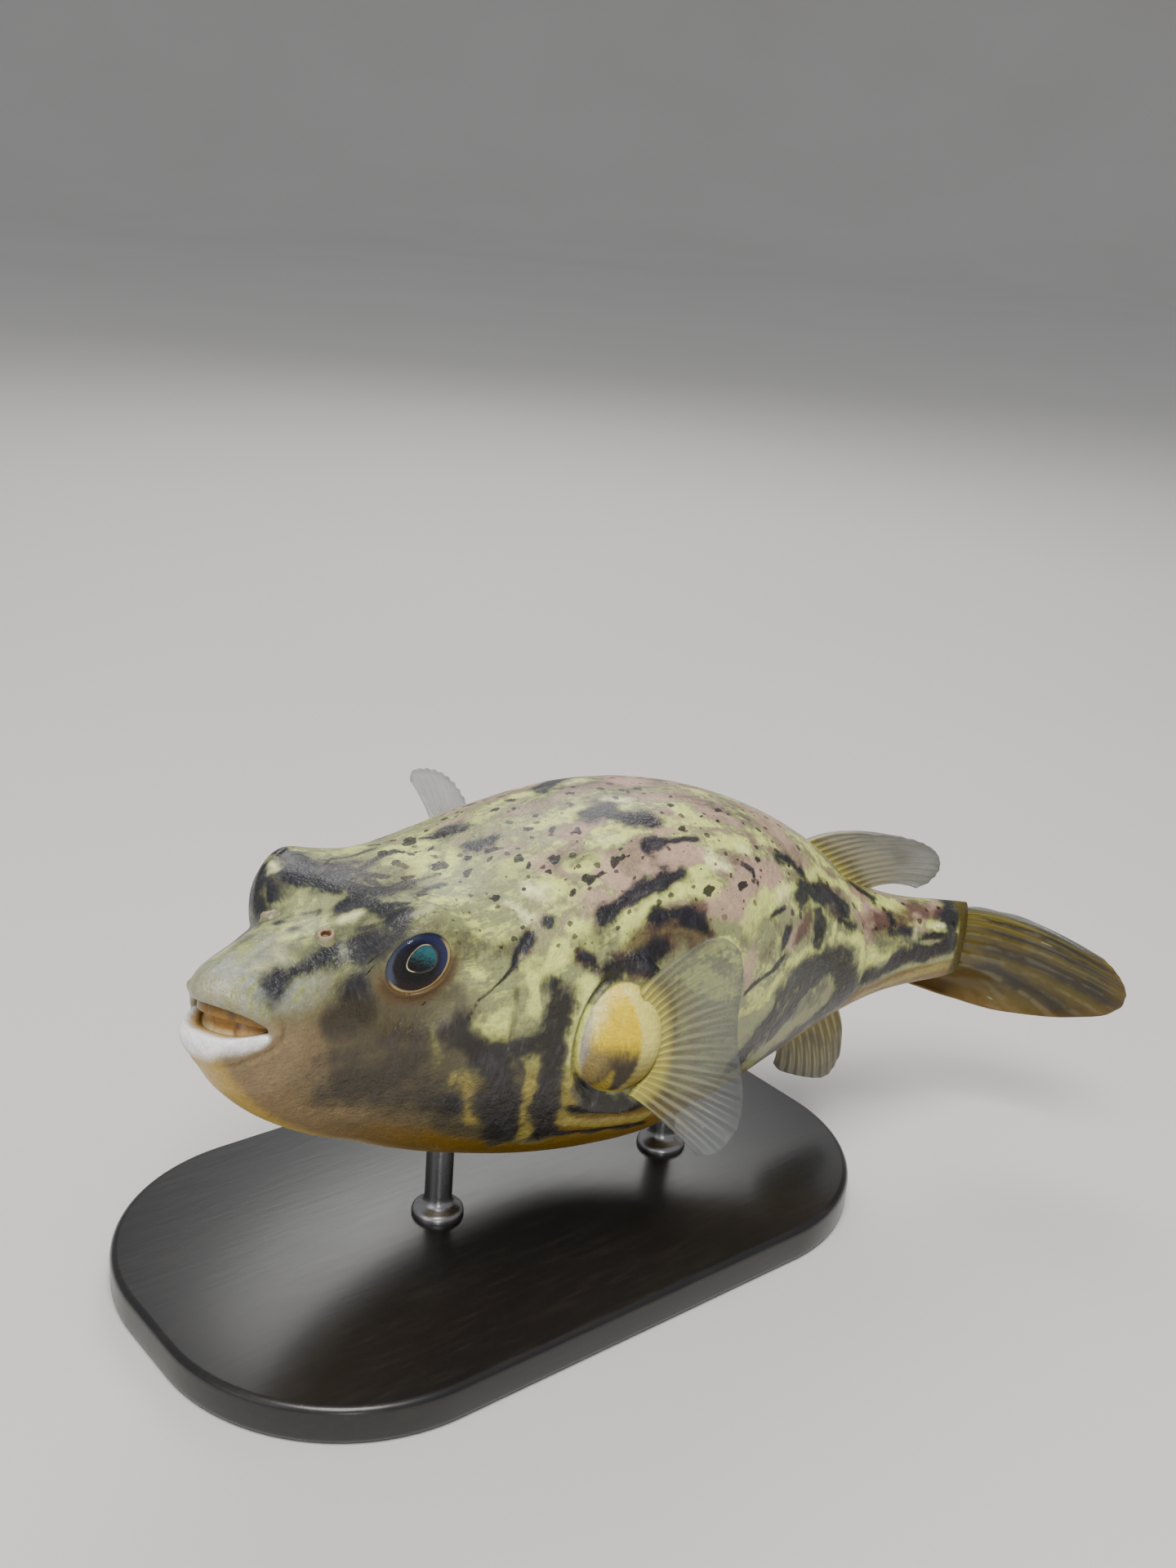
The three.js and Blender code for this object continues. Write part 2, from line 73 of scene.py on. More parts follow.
# ring, station, how far the sides are set back, top, widest level, bottom, half width,
# squareness above, squareness below. Rings under 0 line the mouth.
SECTIONS = np.array(
    [
        [-9, 11, 0, 0.4, -1.8, -3.0, 2.4, 2.0, 2.0],
        [-6, 6, 3.4, 1.8, -2.2, -3.8, 5.6, 2.0, 2.6],
        [-3, 1.7, 5.4, 1.2, -2.6, -3.3, 6.2, 1.8, 3.4],
        [-1.2, -0.2, 5.9, 1.5, -2.8, -3.1, 6.8, 1.7, 3.6],
        [0, -0.6, 6.2, 3.0, -2.8, -4.9, 7.5, 1.7, 3.0],
        [1.5, 0.7, 5.9, 4.5, -2.6, -7.3, 8.2, 1.75, 2.6],
        [3, 2.4, 5.2, 5.3, -2.5, -9.6, 8.8, 1.8, 2.3],
        [6, 5.6, 3.8, 6.1, -2.8, -13.6, 9.9, 1.8, 2.2],
        [12, 12, 1.7, 7.9, -3.2, -18.9, 10.8, 1.9, 2.3],
        [20, 20, 0, 10.1, -3.0, -23.4, 13.6, 2.3, 2.3],
        [26, 26, 0, 13.4, -0.4, -25.6, 16.9, 3.4, 2.3],
        [33, 33, 0, 13.6, 0.0, -28.4, 20.2, 3.0, 2.3],
        [42, 42, 0, 14.9, -1.2, -31.0, 22.8, 2.5, 2.3],
        [56, 56, 0, 19.4, -2.0, -33.5, 25.4, 2.3, 2.3],
        [70, 70, 0, 23.6, -1.0, -34.0, 26.4, 2.2, 2.3],
        [84, 84, 0, 24.9, 0.0, -32.4, 25.0, 2.2, 2.3],
        [98, 98, 0, 23.4, 0.0, -27.0, 20.4, 2.2, 2.2],
        [110, 110, 0, 19.8, 0.0, -20.0, 15.0, 2.1, 2.1],
        [122, 122, 0, 12.6, 0.0, -13.8, 10.0, 2.0, 2.0],
        [134, 134, 0, 8.2, 0.0, -9.6, 6.4, 2.0, 2.0],
        [150, 150, 0, 6.4, 0.0, -7.4, 4.2, 2.0, 2.0],
    ],
    float,
)
EYE = {
    "station": 25.3, "side": 15.9, "rise": 5.6, "forward": 30, "down": 6, "opening": 4.4, "ball": 5.9,
    "long": 5.1, "high": 4.15, "tilt": 37,
}
# The skin round each eye: how far out it is drawn to the eye, how proud it stands, how flat it is.
SOCKET = {"reach": 12, "proud": 0.5, "flatness": 50}
BROW = {"station": 28.0, "side": 13.5, "rise": 10.0, "reach": 9, "swell": 2}
NOSTRIL = {"station": 17.2, "side": 5.4}
# The oval pad that carries each pectoral fin; left and right are its rise on either side.
LOBE = {
    "station": 60.5, "left": -6.7, "right": -4.5, "long": 6.6, "high": 8.5, "stand": 4.6, "flare": 0.42,
}
# How far from its middle an eye or lobe replaces the lattice, as a share of its half sizes.
PATCH_REACH = 1.5

# Markings, and the highlights and shadow painted like them: name, half width, strength, and a
# path of (ring, degrees round from the left side, 90 at the back). Each goes on both sides, a little
# shifted on the right, unless its name starts with near or far.
DARK_MARKS = [
    ("forehead band", 2.5, 0.95, [(26.8, 92), (26.6, 87), (28.5, 83.5), (30.5, 81.5)]),
    ("forehead band low", 1.9, 0.9, [(23.8, 86), (25.3, 82), (27, 77)]),
    ("forehead band high", 0.95, 0.95, [(29.4, 100), (30.4, 97), (31.6, 93), (32.6, 89.5)]),
    ("forehead wing", 0.7, 0.8, [(31, 84), (34, 82), (38, 80)]),
    ("forehead wing low", 0.6, 0.7, [(31, 76), (34, 74), (37, 73)]),
    ("far brow", 2.3, 1.0, [(28.4, 109), (29.2, 105)]),
    ("far brow low", 2.2, 1.0, [(26.3, 101), (25.7, 96), (27, 91)]),
    ("far brow front", 1.7, 1.0, [(22.4, 110), (21.1, 116)]),
    ("patch over the eye", 1.7, 0.95, [(25.8, 70), (25.4, 64), (24, 55)]),
    (
        "snout stripe", 2.6, 0.85,
        [(5.5, 53), (7.5, 54.5), (10, 52.5), (12.4, 51), (15.4, 52), (18, 52.5), (22, 51)],
    ),
    ("behind the nostril", 0.9, 0.5, [(18.5, 62), (21, 61)]),
    ("snout smudge", 0.8, 0.75, [(14.6, 82), (15.4, 82)]),
    ("snout smudge rear", 0.6, 0.7, [(19.2, 91), (20, 89.5)]),
    ("snout spot", 0.8, 0.6, [(14, 71), (15.5, 70)]),
    ("cheek spot", 3.3, 1.0, [(16.3, 18), (15.6, 12), (14.6, 5)]),
    ("cheek cloud", 3.6, 0.8, [(16, -23), (20, -21), (25, -17)]),
    ("cheek haze", 2.2, 0.62, [(22, -4), (26, -9)]),
    ("throat cloud", 2.3, 0.78, [(30, -31), (34.5, -33)]),
    ("throat haze", 2.0, 0.6, [(24, -31), (28, -29)]),
    ("line behind the eye", 0.28, 1.0, [(40.5, 17), (38, 9), (34.5, 1), (32, -4)]),
    ("knob behind the eye", 0.95, 1.0, [(44.6, 32), (43.2, 28)]),
    ("under the knob", 0.5, 0.9, [(43.2, 28), (41, 22), (40.4, 17)]),
    ("over the knob", 1.05, 0.9, [(48, 34.5), (48.4, 36)]),
    ("patch below the line", 2.2, 1.0, [(31.5, -5), (34, -9), (37, -13)]),
    ("between the bars", 1.7, 0.95, [(38, -9), (43, -8.5), (48, -6)]),
    ("first bar", 2.65, 1.0, [(39.9, -13), (41.7, -25), (44.3, -36), (46, -43)]),
    ("first bar top", 0.8, 0.55, [(41, 6), (40.8, 0), (40.5, -8)]),
    ("second bar", 2.0, 1.0, [(48.3, 1), (48.3, -6), (49, -15), (50, -25), (51.8, -36), (54, -42)]),
    ("second bar top", 1.0, 0.7, [(48, 10), (48, 2)]),
    ("flank stripe", 1.6, 1.0, [(57.5, -28.5), (63, -29.5), (70, -30.5), (77, -31.5)]),
    # Painted shadow: the dark below each pectoral lobe is the shadow the lobe casts, painted as a dark
    # mark.
    ("under the lobe", 1.9, 1.0, [(57.2, -19.5), (58.5, -24), (62, -26.5), (68.8, -28)]),
    ("belly line", 0.65, 0.9, [(54, -40.5), (60, -42.5), (68, -43.5), (78, -45)]),
    ("shoulder band low", 1.9, 1.0, [(57.5, 10), (62, 13.5), (66.5, 17)]),
    ("shoulder band high", 1.2, 0.9, [(65.5, 28), (70, 28), (72.5, 27)]),
    ("shoulder band end", 1.3, 0.95, [(72, 26), (74.5, 24), (76, 20)]),
    ("shoulder smudge", 0.9, 0.75, [(52.5, 19), (54.5, 16)]),
    ("saddle band", 1.25, 1.0, [(57, 33), (59.5, 35), (62, 36.5)]),
    ("saddle band high", 1.45, 1.0, [(63.5, 37), (67, 40), (70, 41.5), (72.3, 41.5)]),
    ("nape patch", 1.9, 0.95, [(46.8, 85), (50, 85.5)]),
    ("back patch", 1.2, 1.0, [(68.8, 53.5), (71.3, 55.5)]),
    ("back patch tail", 0.5, 0.9, [(71, 55.5), (74, 55), (78, 55.5)]),
    ("back cloud", 2.2, 1.0, [(64.5, 77), (67, 74), (69.5, 70), (71.5, 66.3)]),
    (
        "rear low band", 3.0, 1.0,
        [(95.5, -26), (98.5, -20), (100.3, -11), (101.5, -5), (104.5, 0.5), (110, 5)],
    ),
    ("rear low cloud", 2.3, 0.85, [(105.5, -41), (112, -34), (117.5, -25), (121.5, -19)]),
    ("rear low band rear", 2.0, 1.0, [(102, -20), (104.5, -10), (109, -3)]),
    ("rear low block", 2.7, 1.0, [(112, 5), (117, 2), (118.5, -7), (119.5, -16)]),
    ("lower peduncle band", 1.7, 1.0, [(122, -22), (128.5, -18), (134.5, -9), (140, -2), (145, 4)]),
    ("peduncle upper strip", 0.75, 0.9, [(138, 17), (142, 16), (146, 15)]),
    ("rear middle band", 0.9, 0.95, [(97, 13), (97.7, 20)]),
    ("rear arch", 1.9, 1.0, [(101, 34), (104, 37), (108, 38.5), (112, 41), (116, 37)]),
    ("rear arch leg", 1.7, 1.0, [(107.3, 30), (108.3, 22), (108, 16)]),
    ("rear dusk", 1.2, 0.8, [(115, 30), (119, 26)]),
    ("rear thin line", 0.45, 1.0, [(89, -1), (92, 2), (95, 4.5), (98, 9.5)]),
    ("rear brush", 0.5, 0.85, [(93, 25), (96.5, 29)]),
    ("rear curve", 0.4, 0.95, [(86, 45), (88, 43), (89, 37)]),
    ("rear high band", 1.3, 0.85, [(96, 52), (100, 50), (103, 47)]),
    ("peduncle top", 1.2, 0.85, [(123.5, 74), (127.5, 62)]),
    ("peduncle bar", 0.8, 0.8, [(131, 44), (131.3, 34)]),
    ("peduncle low bar", 0.9, 0.7, [(131, 26), (136, 26)]),
    ("peduncle end", 2.2, 1.0, [(145.5, 76), (145.8, 55), (145, 38)]),
]
RUST_MARKS = [
    ("shoulder rust", 2.6, 1.0, [(60.5, 15), (66, 21), (71, 22.5), (75.5, 20)]),
    ("shoulder smudge", 1.3, 0.7, [(52, 20), (55, 15)]),
    ("rear rust", 1.7, 0.9, [(101.5, 18), (104, 28)]),
    ("rear arch rust", 1.3, 0.7, [(112, 33), (115, 32)]),
    ("rear speckle", 1.4, 0.6, [(92, 10), (95, 15)]),
    ("peduncle rust", 2.2, 0.9, [(126.5, 38), (130, 40), (134, 45)]),
    ("peduncle top rust", 1.9, 0.9, [(136, 52), (139.5, 54), (143, 60)]),
    ("tail end", 1.3, 0.85, [(132, -10), (138, -6), (143.5, 3)]),
]
SALMON_MARKS = [
    ("saddle salmon", 2.4, 1.0, [(60.5, 49), (62.5, 42)]),
    ("saddle salmon front", 1.8, 0.8, [(55.5, 43), (58.5, 38)]),
    ("back salmon", 2.0, 0.9, [(69, 49), (73, 51), (76, 49)]),
    ("nape salmon", 2.6, 0.8, [(52.5, 62), (57, 61)]),
    ("flank salmon", 2.8, 1.0, [(79, 31), (84, 28), (86, 36)]),
    ("rear salmon", 2.2, 0.9, [(90, 38), (95, 44)]),
    ("rear low salmon", 1.5, 0.9, [(88.5, 10), (89.5, 3)]),
    ("rear salmon end", 1.4, 0.9, [(99.5, 16), (102.5, 22)]),
    ("peduncle salmon", 2.2, 1.0, [(124.5, 20), (125, 40), (129, 46)]),
    ("peduncle top salmon", 2.0, 0.9, [(135, 60), (139, 52), (142, 56)]),
]
LEMON_MARKS = [
    ("cheek pale bar", 1.6, 0.42, [(28.3, -4), (29, -12), (30, -22)]),
    ("throat pale bar", 2.3, 0.6, [(34.5, -21), (36.5, -30), (38.5, -38)]),
    ("under the line", 1.9, 0.85, [(36.8, -3), (39, -1), (38.7, -5)]),
    ("neck low", 1.2, 0.6, [(33.5, 11), (35, 9)]),
    ("bar gap top", 1.0, 1.0, [(44, 12), (44.4, 5), (44.5, 0)]),
    ("bar gap", 1.2, 1.0, [(45, -12), (46.4, -20), (47.8, -31), (49, -38), (50, -43)]),
    ("second gap", 1.4, 1.0, [(53.4, 8), (52.3, -2), (53, -10), (54, -20), (54.8, -28), (55.5, -33)]),
    ("flank line", 0.85, 1.0, [(54, -35), (60, -37), (66, -38), (76, -39.5)]),
    ("shoulder line", 1.15, 1.0, [(63, 28), (68, 34), (72.3, 36.8), (75, 40.5), (80, 45)]),
    ("shoulder pale", 1.3, 0.9, [(75, 36), (78.5, 35)]),
    ("shoulder olive", 1.7, 0.9, [(61.2, 31), (62, 27), (61.5, 21)]),
    ("neck bright", 1.2, 1.0, [(45.5, 16), (47.5, 19), (49.5, 23)]),
    ("neck bright high", 1.4, 0.85, [(52, 32), (54.5, 28)]),
    ("rear line", 2.0, 1.0, [(87.5, 20), (90, 26), (91.5, 30)]),
    ("rear line high", 1.3, 0.9, [(93, 32), (97, 36), (100, 38.5), (104, 42.5)]),
    ("rear line low", 1.35, 1.0, [(100, 6), (103, 9), (107, 11.5), (109.5, 13)]),
    ("rear patch", 0.8, 1.0, [(112.6, 17), (113.5, 25)]),
    ("rear patch low", 1.0, 0.8, [(115, 18), (120, 17)]),
    ("rear saddle edge", 1.2, 0.9, [(104.5, 46), (109, 50), (115, 53), (119, 54), (123, 50)]),
    ("lower rear line", 1.2, 0.85, [(90, -7), (95, -4), (98.5, 2)]),
    ("lower rear stripe", 0.8, 0.7, [(104, -31), (108, -25), (113, -18)]),
    ("peduncle saddle", 1.1, 0.9, [(127.5, 60), (131, 58)]),
    ("peduncle saddle rear", 0.8, 0.8, [(133, 68), (135, 56)]),
    ("peduncle patch", 1.5, 1.0, [(125.5, -5), (130, 3)]),
    ("peduncle line", 1.0, 1.0, [(140.3, 36), (143.5, 31)]),
    ("peduncle edge", 1.0, 0.9, [(126, -44), (136, -40), (146, -32)]),
    ("trunk end", 0.8, 0.7, [(121.5, 18), (122, 0), (122, -14)]),
    ("nape splotch", 1.8, 0.9, [(63.5, 80), (61.5, 81)]),
    ("back splotch", 1.8, 0.9, [(78.5, 71), (80.5, 68)]),
    ("back splotch low", 1.9, 1.0, [(56.5, 57), (59.5, 56)]),
    ("shoulder splotch", 1.8, 0.9, [(50.5, 55), (52, 50)]),
    ("back olive", 1.7, 0.7, [(74, 66), (76.5, 63)]),
    ("rear back splotch", 1.7, 1.0, [(83.5, 55), (87.5, 54)]),
    ("rump splotch", 1.5, 0.9, [(93, 59), (96, 58)]),
    ("crown splotch", 2.2, 0.9, [(36.5, 93), (39.5, 88)]),
    ("crown splotch rear", 1.8, 0.8, [(41, 81), (44, 86)]),
    ("beside the brow", 1.6, 0.8, [(33, 68), (36, 63)]),
    ("far brow fleck", 0.6, 0.8, [(28, 98.3), (28.8, 97.5)]),
]
# Painted highlights: near-white patches in the Glow colour where the wet skin mirrors the lamps.
PAINTED_HIGHLIGHT_MARKS = [
    ("near the nostril", 0.95, 1.0, [(21.8, 79), (23.2, 80.5)]),
    ("far brow light", 0.9, 0.8, [(25.6, 105.5), (26, 107.5)]),
    ("near the eye", 0.9, 0.6, [(27.5, 52), (28.5, 56)]),
    ("snout top", 2.0, 0.6, [(6, 66), (10, 64)]),
    ("neck glow", 1.5, 0.9, [(48, 53), (49.2, 50)]),
    ("neck streak", 1.2, 0.85, [(43.3, 51), (44.5, 45), (45.5, 41)]),
    ("back glow", 1.2, 0.8, [(62.5, 63), (65.5, 61)]),
    ("crest glow", 1.2, 0.8, [(68.5, 82), (71, 80)]),
    ("shoulder glow", 1.5, 0.95, [(79.5, 46), (82, 42.5)]),
    ("rear glow", 1.2, 0.85, [(95, 34), (97, 37)]),
    ("rear back glow", 1.0, 0.9, [(86.5, 53), (88, 52)]),
    ("gill flap edge", 0.5, 0.7, [(54.5, 8), (52.5, 0), (52, -12)]),
    ("peduncle glow", 0.6, 0.6, [(136.3, 15), (136.6, 28)]),
    ("peduncle line glow", 0.7, 0.8, [(141, 35), (143, 32)]),
]
DUSK_MARKS = [
    ("behind the eye", 1.5, 0.9, [(32.5, 33), (35, 27)]),
    ("behind the eye low", 1.3, 0.8, [(31, 3), (31.5, -1)]),
    ("neck cloud", 1.4, 0.85, [(42, 26), (38, 24)]),
    ("lobe cloud", 1.8, 0.9, [(53, 17), (55, 22), (56.3, 27)]),
    ("bar cloud", 1.6, 0.85, [(47.5, 10), (51, 5)]),
    ("saddle dusk", 1.6, 0.8, [(54.5, 60), (59, 62)]),
    ("back dusk", 1.4, 0.8, [(69, 49), (70.5, 46)]),
    ("under the band", 1.4, 0.8, [(57.5, 27), (58.5, 22)]),
    ("crest dusk", 1.8, 0.7, [(60, 88), (66, 86), (73, 84)]),
    ("crest dusk rear", 1.8, 0.7, [(80, 80), (86, 74), (91, 70)]),
    ("brow side", 1.8, 0.6, [(21, 48), (23, 45)]),
    ("far brow dusk", 2.2, 1.0, [(22.8, 102), (24.3, 103.5), (24.8, 99)]),
    ("neck dusk", 1.5, 0.75, [(40.5, 57), (43, 52)]),
    ("flank dusk", 1.6, 0.8, [(86, 17), (90, 22)]),
    ("rear arch dusk", 1.6, 0.8, [(100, 40), (103, 44)]),
    ("peduncle dusk", 2.0, 1.0, [(127.5, 21), (131, 15), (135.5, 6)]),
    ("rear low dusk", 2.0, 0.8, [(107.5, -15), (113, -8), (115.5, -2)]),
]
# Dark spots of the back: ring, degrees, radius.
SPOTS = [
    (57.4, 48.5, 0.85), (62.6, 51.5, 0.85), (64, 52.2, 0.5), (54.3, 62, 0.85), (50.5, 62.5, 0.45),
    (53.8, 44.5, 0.6), (77.7, 34.3, 0.9), (85.3, 35.5, 0.85), (65.2, 52.5, 0.4), (52.5, 57, 0.4),
    (47, 54, 0.4), (41.6, 73.5, 0.85), (39.3, 70, 0.55), (46, 75, 0.5), (44.3, 80.5, 0.7),
    (54, 72.5, 0.45), (57.5, 75.5, 0.7), (60.5, 70.5, 0.55), (60, 63, 0.4), (50, 68.5, 0.6),
    (55, 81, 0.65), (58, 86, 0.6), (63.5, 84.5, 0.6), (73, 84, 0.5), (79, 78.5, 0.6),
    (77.5, 73, 0.5), (76.3, 60, 0.7), (81.5, 67, 0.5), (86, 72, 0.75), (84.3, 64, 0.5),
    (60.3, 48.3, 0.35), (59, 48.7, 0.4), (37, 99, 0.8), (36.5, 91, 0.7), (42.5, 91, 0.6),
    (46, 96, 0.9), (42, 100, 0.8), (39.5, 92, 0.4), (39.5, 84.5, 0.45), (50, 70, 0.6),
    (42, 55, 0.75), (35, 53, 0.4), (72.3, 61.5, 0.3), (90, 47, 0.45), (93, 50, 0.4),
    (99, 48, 0.45), (30, 101, 0.7), (56, 55, 0.3),
]
# Folds pressed into the skin or raised from it: name, half width, height, path.
FOLDS = [
    ("flank furrow", 0.6, -0.45, [(56, -33.5), (63, -35), (70, -36), (79, -37)]),
    ("belly furrow", 0.5, -0.3, [(60, -42.5), (68, -43.5), (78, -44.5)]),
    ("upper lip roll", 0.55, 0.3, [(0.5, 58), (0.5, 46), (0.6, 32), (0.8, 12), (1, 0)]),
    ("upper lip groove", 0.5, -0.28, [(2.3, 52), (2.3, 42), (2.4, 28), (2.7, 8), (2.4, -8)]),
    ("lower lip groove", 0.5, -0.25, [(1.9, -84), (1.6, -60), (1.2, -38), (1.6, -18)]),
    ("line furrow", 0.45, -0.25, [(46, 37), (42, 25), (38, 8), (33, -2)]),
]


def ramp(x, low, high):
    """A smooth step from 0 at low to 1 at high."""
    share = np.clip((np.asarray(x, float) - low) / (high - low), 0, 1)
    return share * share * (3 - 2 * share)


def bell(x, centre, spread):
    """A smooth hump, 1 at its centre."""
    return np.exp(-(((np.asarray(x, float) - centre) / spread) ** 2))


def mix(a, b, share):
    return a + (b - a) * share


def signed_power(x, power):
    """A power of x that keeps its sign."""
    return np.sign(x) * np.abs(x) ** power


def read_table(rows, x):
    """Every column of a table at x, along a smooth curve through its rows."""
    x = np.asarray(x, float)
    last = len(rows) - 1
    i = np.searchsorted(rows[1:last, 0], x, side="left")
    a = rows[i]
    b = rows[i + 1]
    before = rows[np.maximum(i - 1, 0)]
    after = rows[np.minimum(i + 2, last)]
    span = b[..., :1] - a[..., :1]
    k = np.clip((x[..., None] - a[..., :1]) / span, 0, 1)
    slope_a = (b - before) / (b[..., :1] - before[..., :1]) * span
    slope_b = (after - a) / (after[..., :1] - a[..., :1]) * span
    k2 = k * k
    k3 = k2 * k
    start = a * (2 * k3 - 3 * k2 + 1) + slope_a * (k3 - 2 * k2 + k)
    return start + b * (3 * k2 - 2 * k3) + slope_b * (k3 - k2)


def make_backbone():
    """Points and directions of the backbone, a gentle C that is concave on the left."""
    s = np.arange(-10, STANDARD_LENGTH + 61, 1.0)
    yaw = np.radians(-16 * (1 - ramp(s, 8, 54)) + 13 * ramp(s, 42, 104) + 5 * ramp(s, 112, 132))
    pitch = np.radians(-6 - 7 * ramp(s, 48, 92) + 9.5 * ramp(s, 96, 130))
    level = np.cos(pitch)
    tailward = np.stack([level * np.cos(yaw), -level * np.sin(yaw), np.sin(pitch)], 1)
    left = np.stack([-np.sin(yaw), -np.cos(yaw), np.zeros_like(yaw)], 1)
    up = np.cross(left, tailward)
    at = np.vstack([np.zeros(3), np.cumsum(tailward[:-1], 0)])
    at = at - at[ANCHOR_STATION + 10] + np.array([0, 0, BACKBONE_HEIGHT])
    leaning_left = left * math.cos(ROLL) + up * math.sin(ROLL)
    leaning_up = up * math.cos(ROLL) - left * math.sin(ROLL)
    return at, leaning_left, leaning_up


BACKBONE = make_backbone()


def place(body):
    """Row-frame points, in millimetres, of (station, side, rise) points."""
    body = np.asarray(body, float)
    k = np.clip(body[..., 0] + 10, 0, len(BACKBONE[0]) - 1.001)
    i = np.floor(k).astype(int)
    share = (k - i)[..., None]
    at, left, up = (mix(line[i], line[i + 1], share) for line in BACKBONE)
    return at + left * body[..., 1:2] + up * body[..., 2:3]


def eye_axis(mirror):
    """The way an eye looks; mirror is 1 on the left and -1 on the right."""
    forward = math.radians(EYE["forward"])
    down = math.radians(EYE["down"])
    level = math.cos(down)
    return np.array([-math.sin(forward) * level, math.cos(forward) * level * mirror, -math.sin(down)])


def eye_directions(mirror):
    """Tailward and upward on the iris, and the way the eye looks."""
    axis = eye_axis(mirror)
    up = np.array([0, 0, 1.0])
    up = up - axis * (up @ axis)
    up = up / np.linalg.norm(up)
    across = np.cross(up, axis) * mirror
    across = across if across[0] > 0 else -across
    return across, up, axis


def eye_opening(mirror):
    """The middle of an eye's opening."""
    return np.array([EYE["station"], EYE["side"] * mirror, EYE["rise"]])


def body_point(ring, angle):
    """(station, side, rise) of the body's surface on a ring, at an angle in radians."""
    ring, angle = np.broadcast_arrays(np.asarray(ring, float), np.asarray(angle, float))
    row = np.moveaxis(read_table(SECTIONS, ring), -1, 0)
    _, station, set_back, top, middle, bottom, half_width, square_top, square_bottom = row
    across = np.cos(angle)
    upward = np.sin(angle)
    power = 2 / mix(square_bottom, square_top, ramp(upward, -0.5, 0.5))
    height = np.where(upward > 0, top - middle, middle - bottom)
    side = signed_power(across, power) * half_width
    rise = middle + signed_power(upward, power) * height
    dip = FOREHEAD_DIP * bell(ring, 26.5, 8.5) * bell(side, 0, 9.5)
    rise = rise - dip * ramp(upward, 0.2, 0.8)
    end = np.clip((ring - TAIL_ROUNDING) / (STANDARD_LENGTH - TAIL_ROUNDING), 0, 1)
    side = side * np.sqrt(np.maximum(1 - 0.86 * end**3, 0))
    point = np.stack([station + set_back * across**2, side, rise], -1)
    mirror = np.where(side < 0, -1.0, 1.0)
    brow = np.stack([0 * mirror + BROW["station"], BROW["side"] * mirror, 0 * mirror + BROW["rise"]], -1)
    share = np.minimum(1, np.linalg.norm(point - brow, axis=-1) / BROW["reach"])
    lift = BROW["swell"] * (1 - share**2) ** 2
    point = point + lift[..., None] * np.stack([0 * mirror, 0.35 * mirror, 0 * mirror + 0.94], -1)
    for one in (1, -1):
        axis = eye_axis(one)
        away = point - eye_opening(one)
        high = away @ axis
        wide = np.sqrt(np.maximum(0, (away**2).sum(-1) - high**2))
        weight = (1 - ramp(wide, EYE["opening"], SOCKET["reach"])) * ramp(high, -12, -7) * (mirror == one)
        drawn = SOCKET["proud"] - wide**2 / SOCKET["flatness"]
        point = point + axis * ((drawn - high) * weight)[..., None]
    return point


def skin_point(ring, degrees):
    """Row-frame points of the skin, in millimetres, on a ring at an angle in degrees."""
    return place(body_point(ring, np.radians(degrees)))


def paint(red, green, blue):
    """A colour given as it shows on a screen, 0 to 255, in the renderer's own scale."""
    linear = []
    for part in (red, green, blue):
        part = part / 255
        linear.append(part / 12.92 if part <= 0.04045 else ((part + 0.055) / 1.055) ** 2.4)
    return tuple(linear)


# ---- Sizes and colours a user may change ----
def colour(name, description, *screen):
    return bpy.props.FloatVectorProperty(
        name=name, description=description, subtype="COLOR", size=3, min=0, max=1, default=paint(*screen)
    )


def length(name, description, default):
    return bpy.props.FloatProperty(name=name, description=description, default=default, unit="LENGTH")


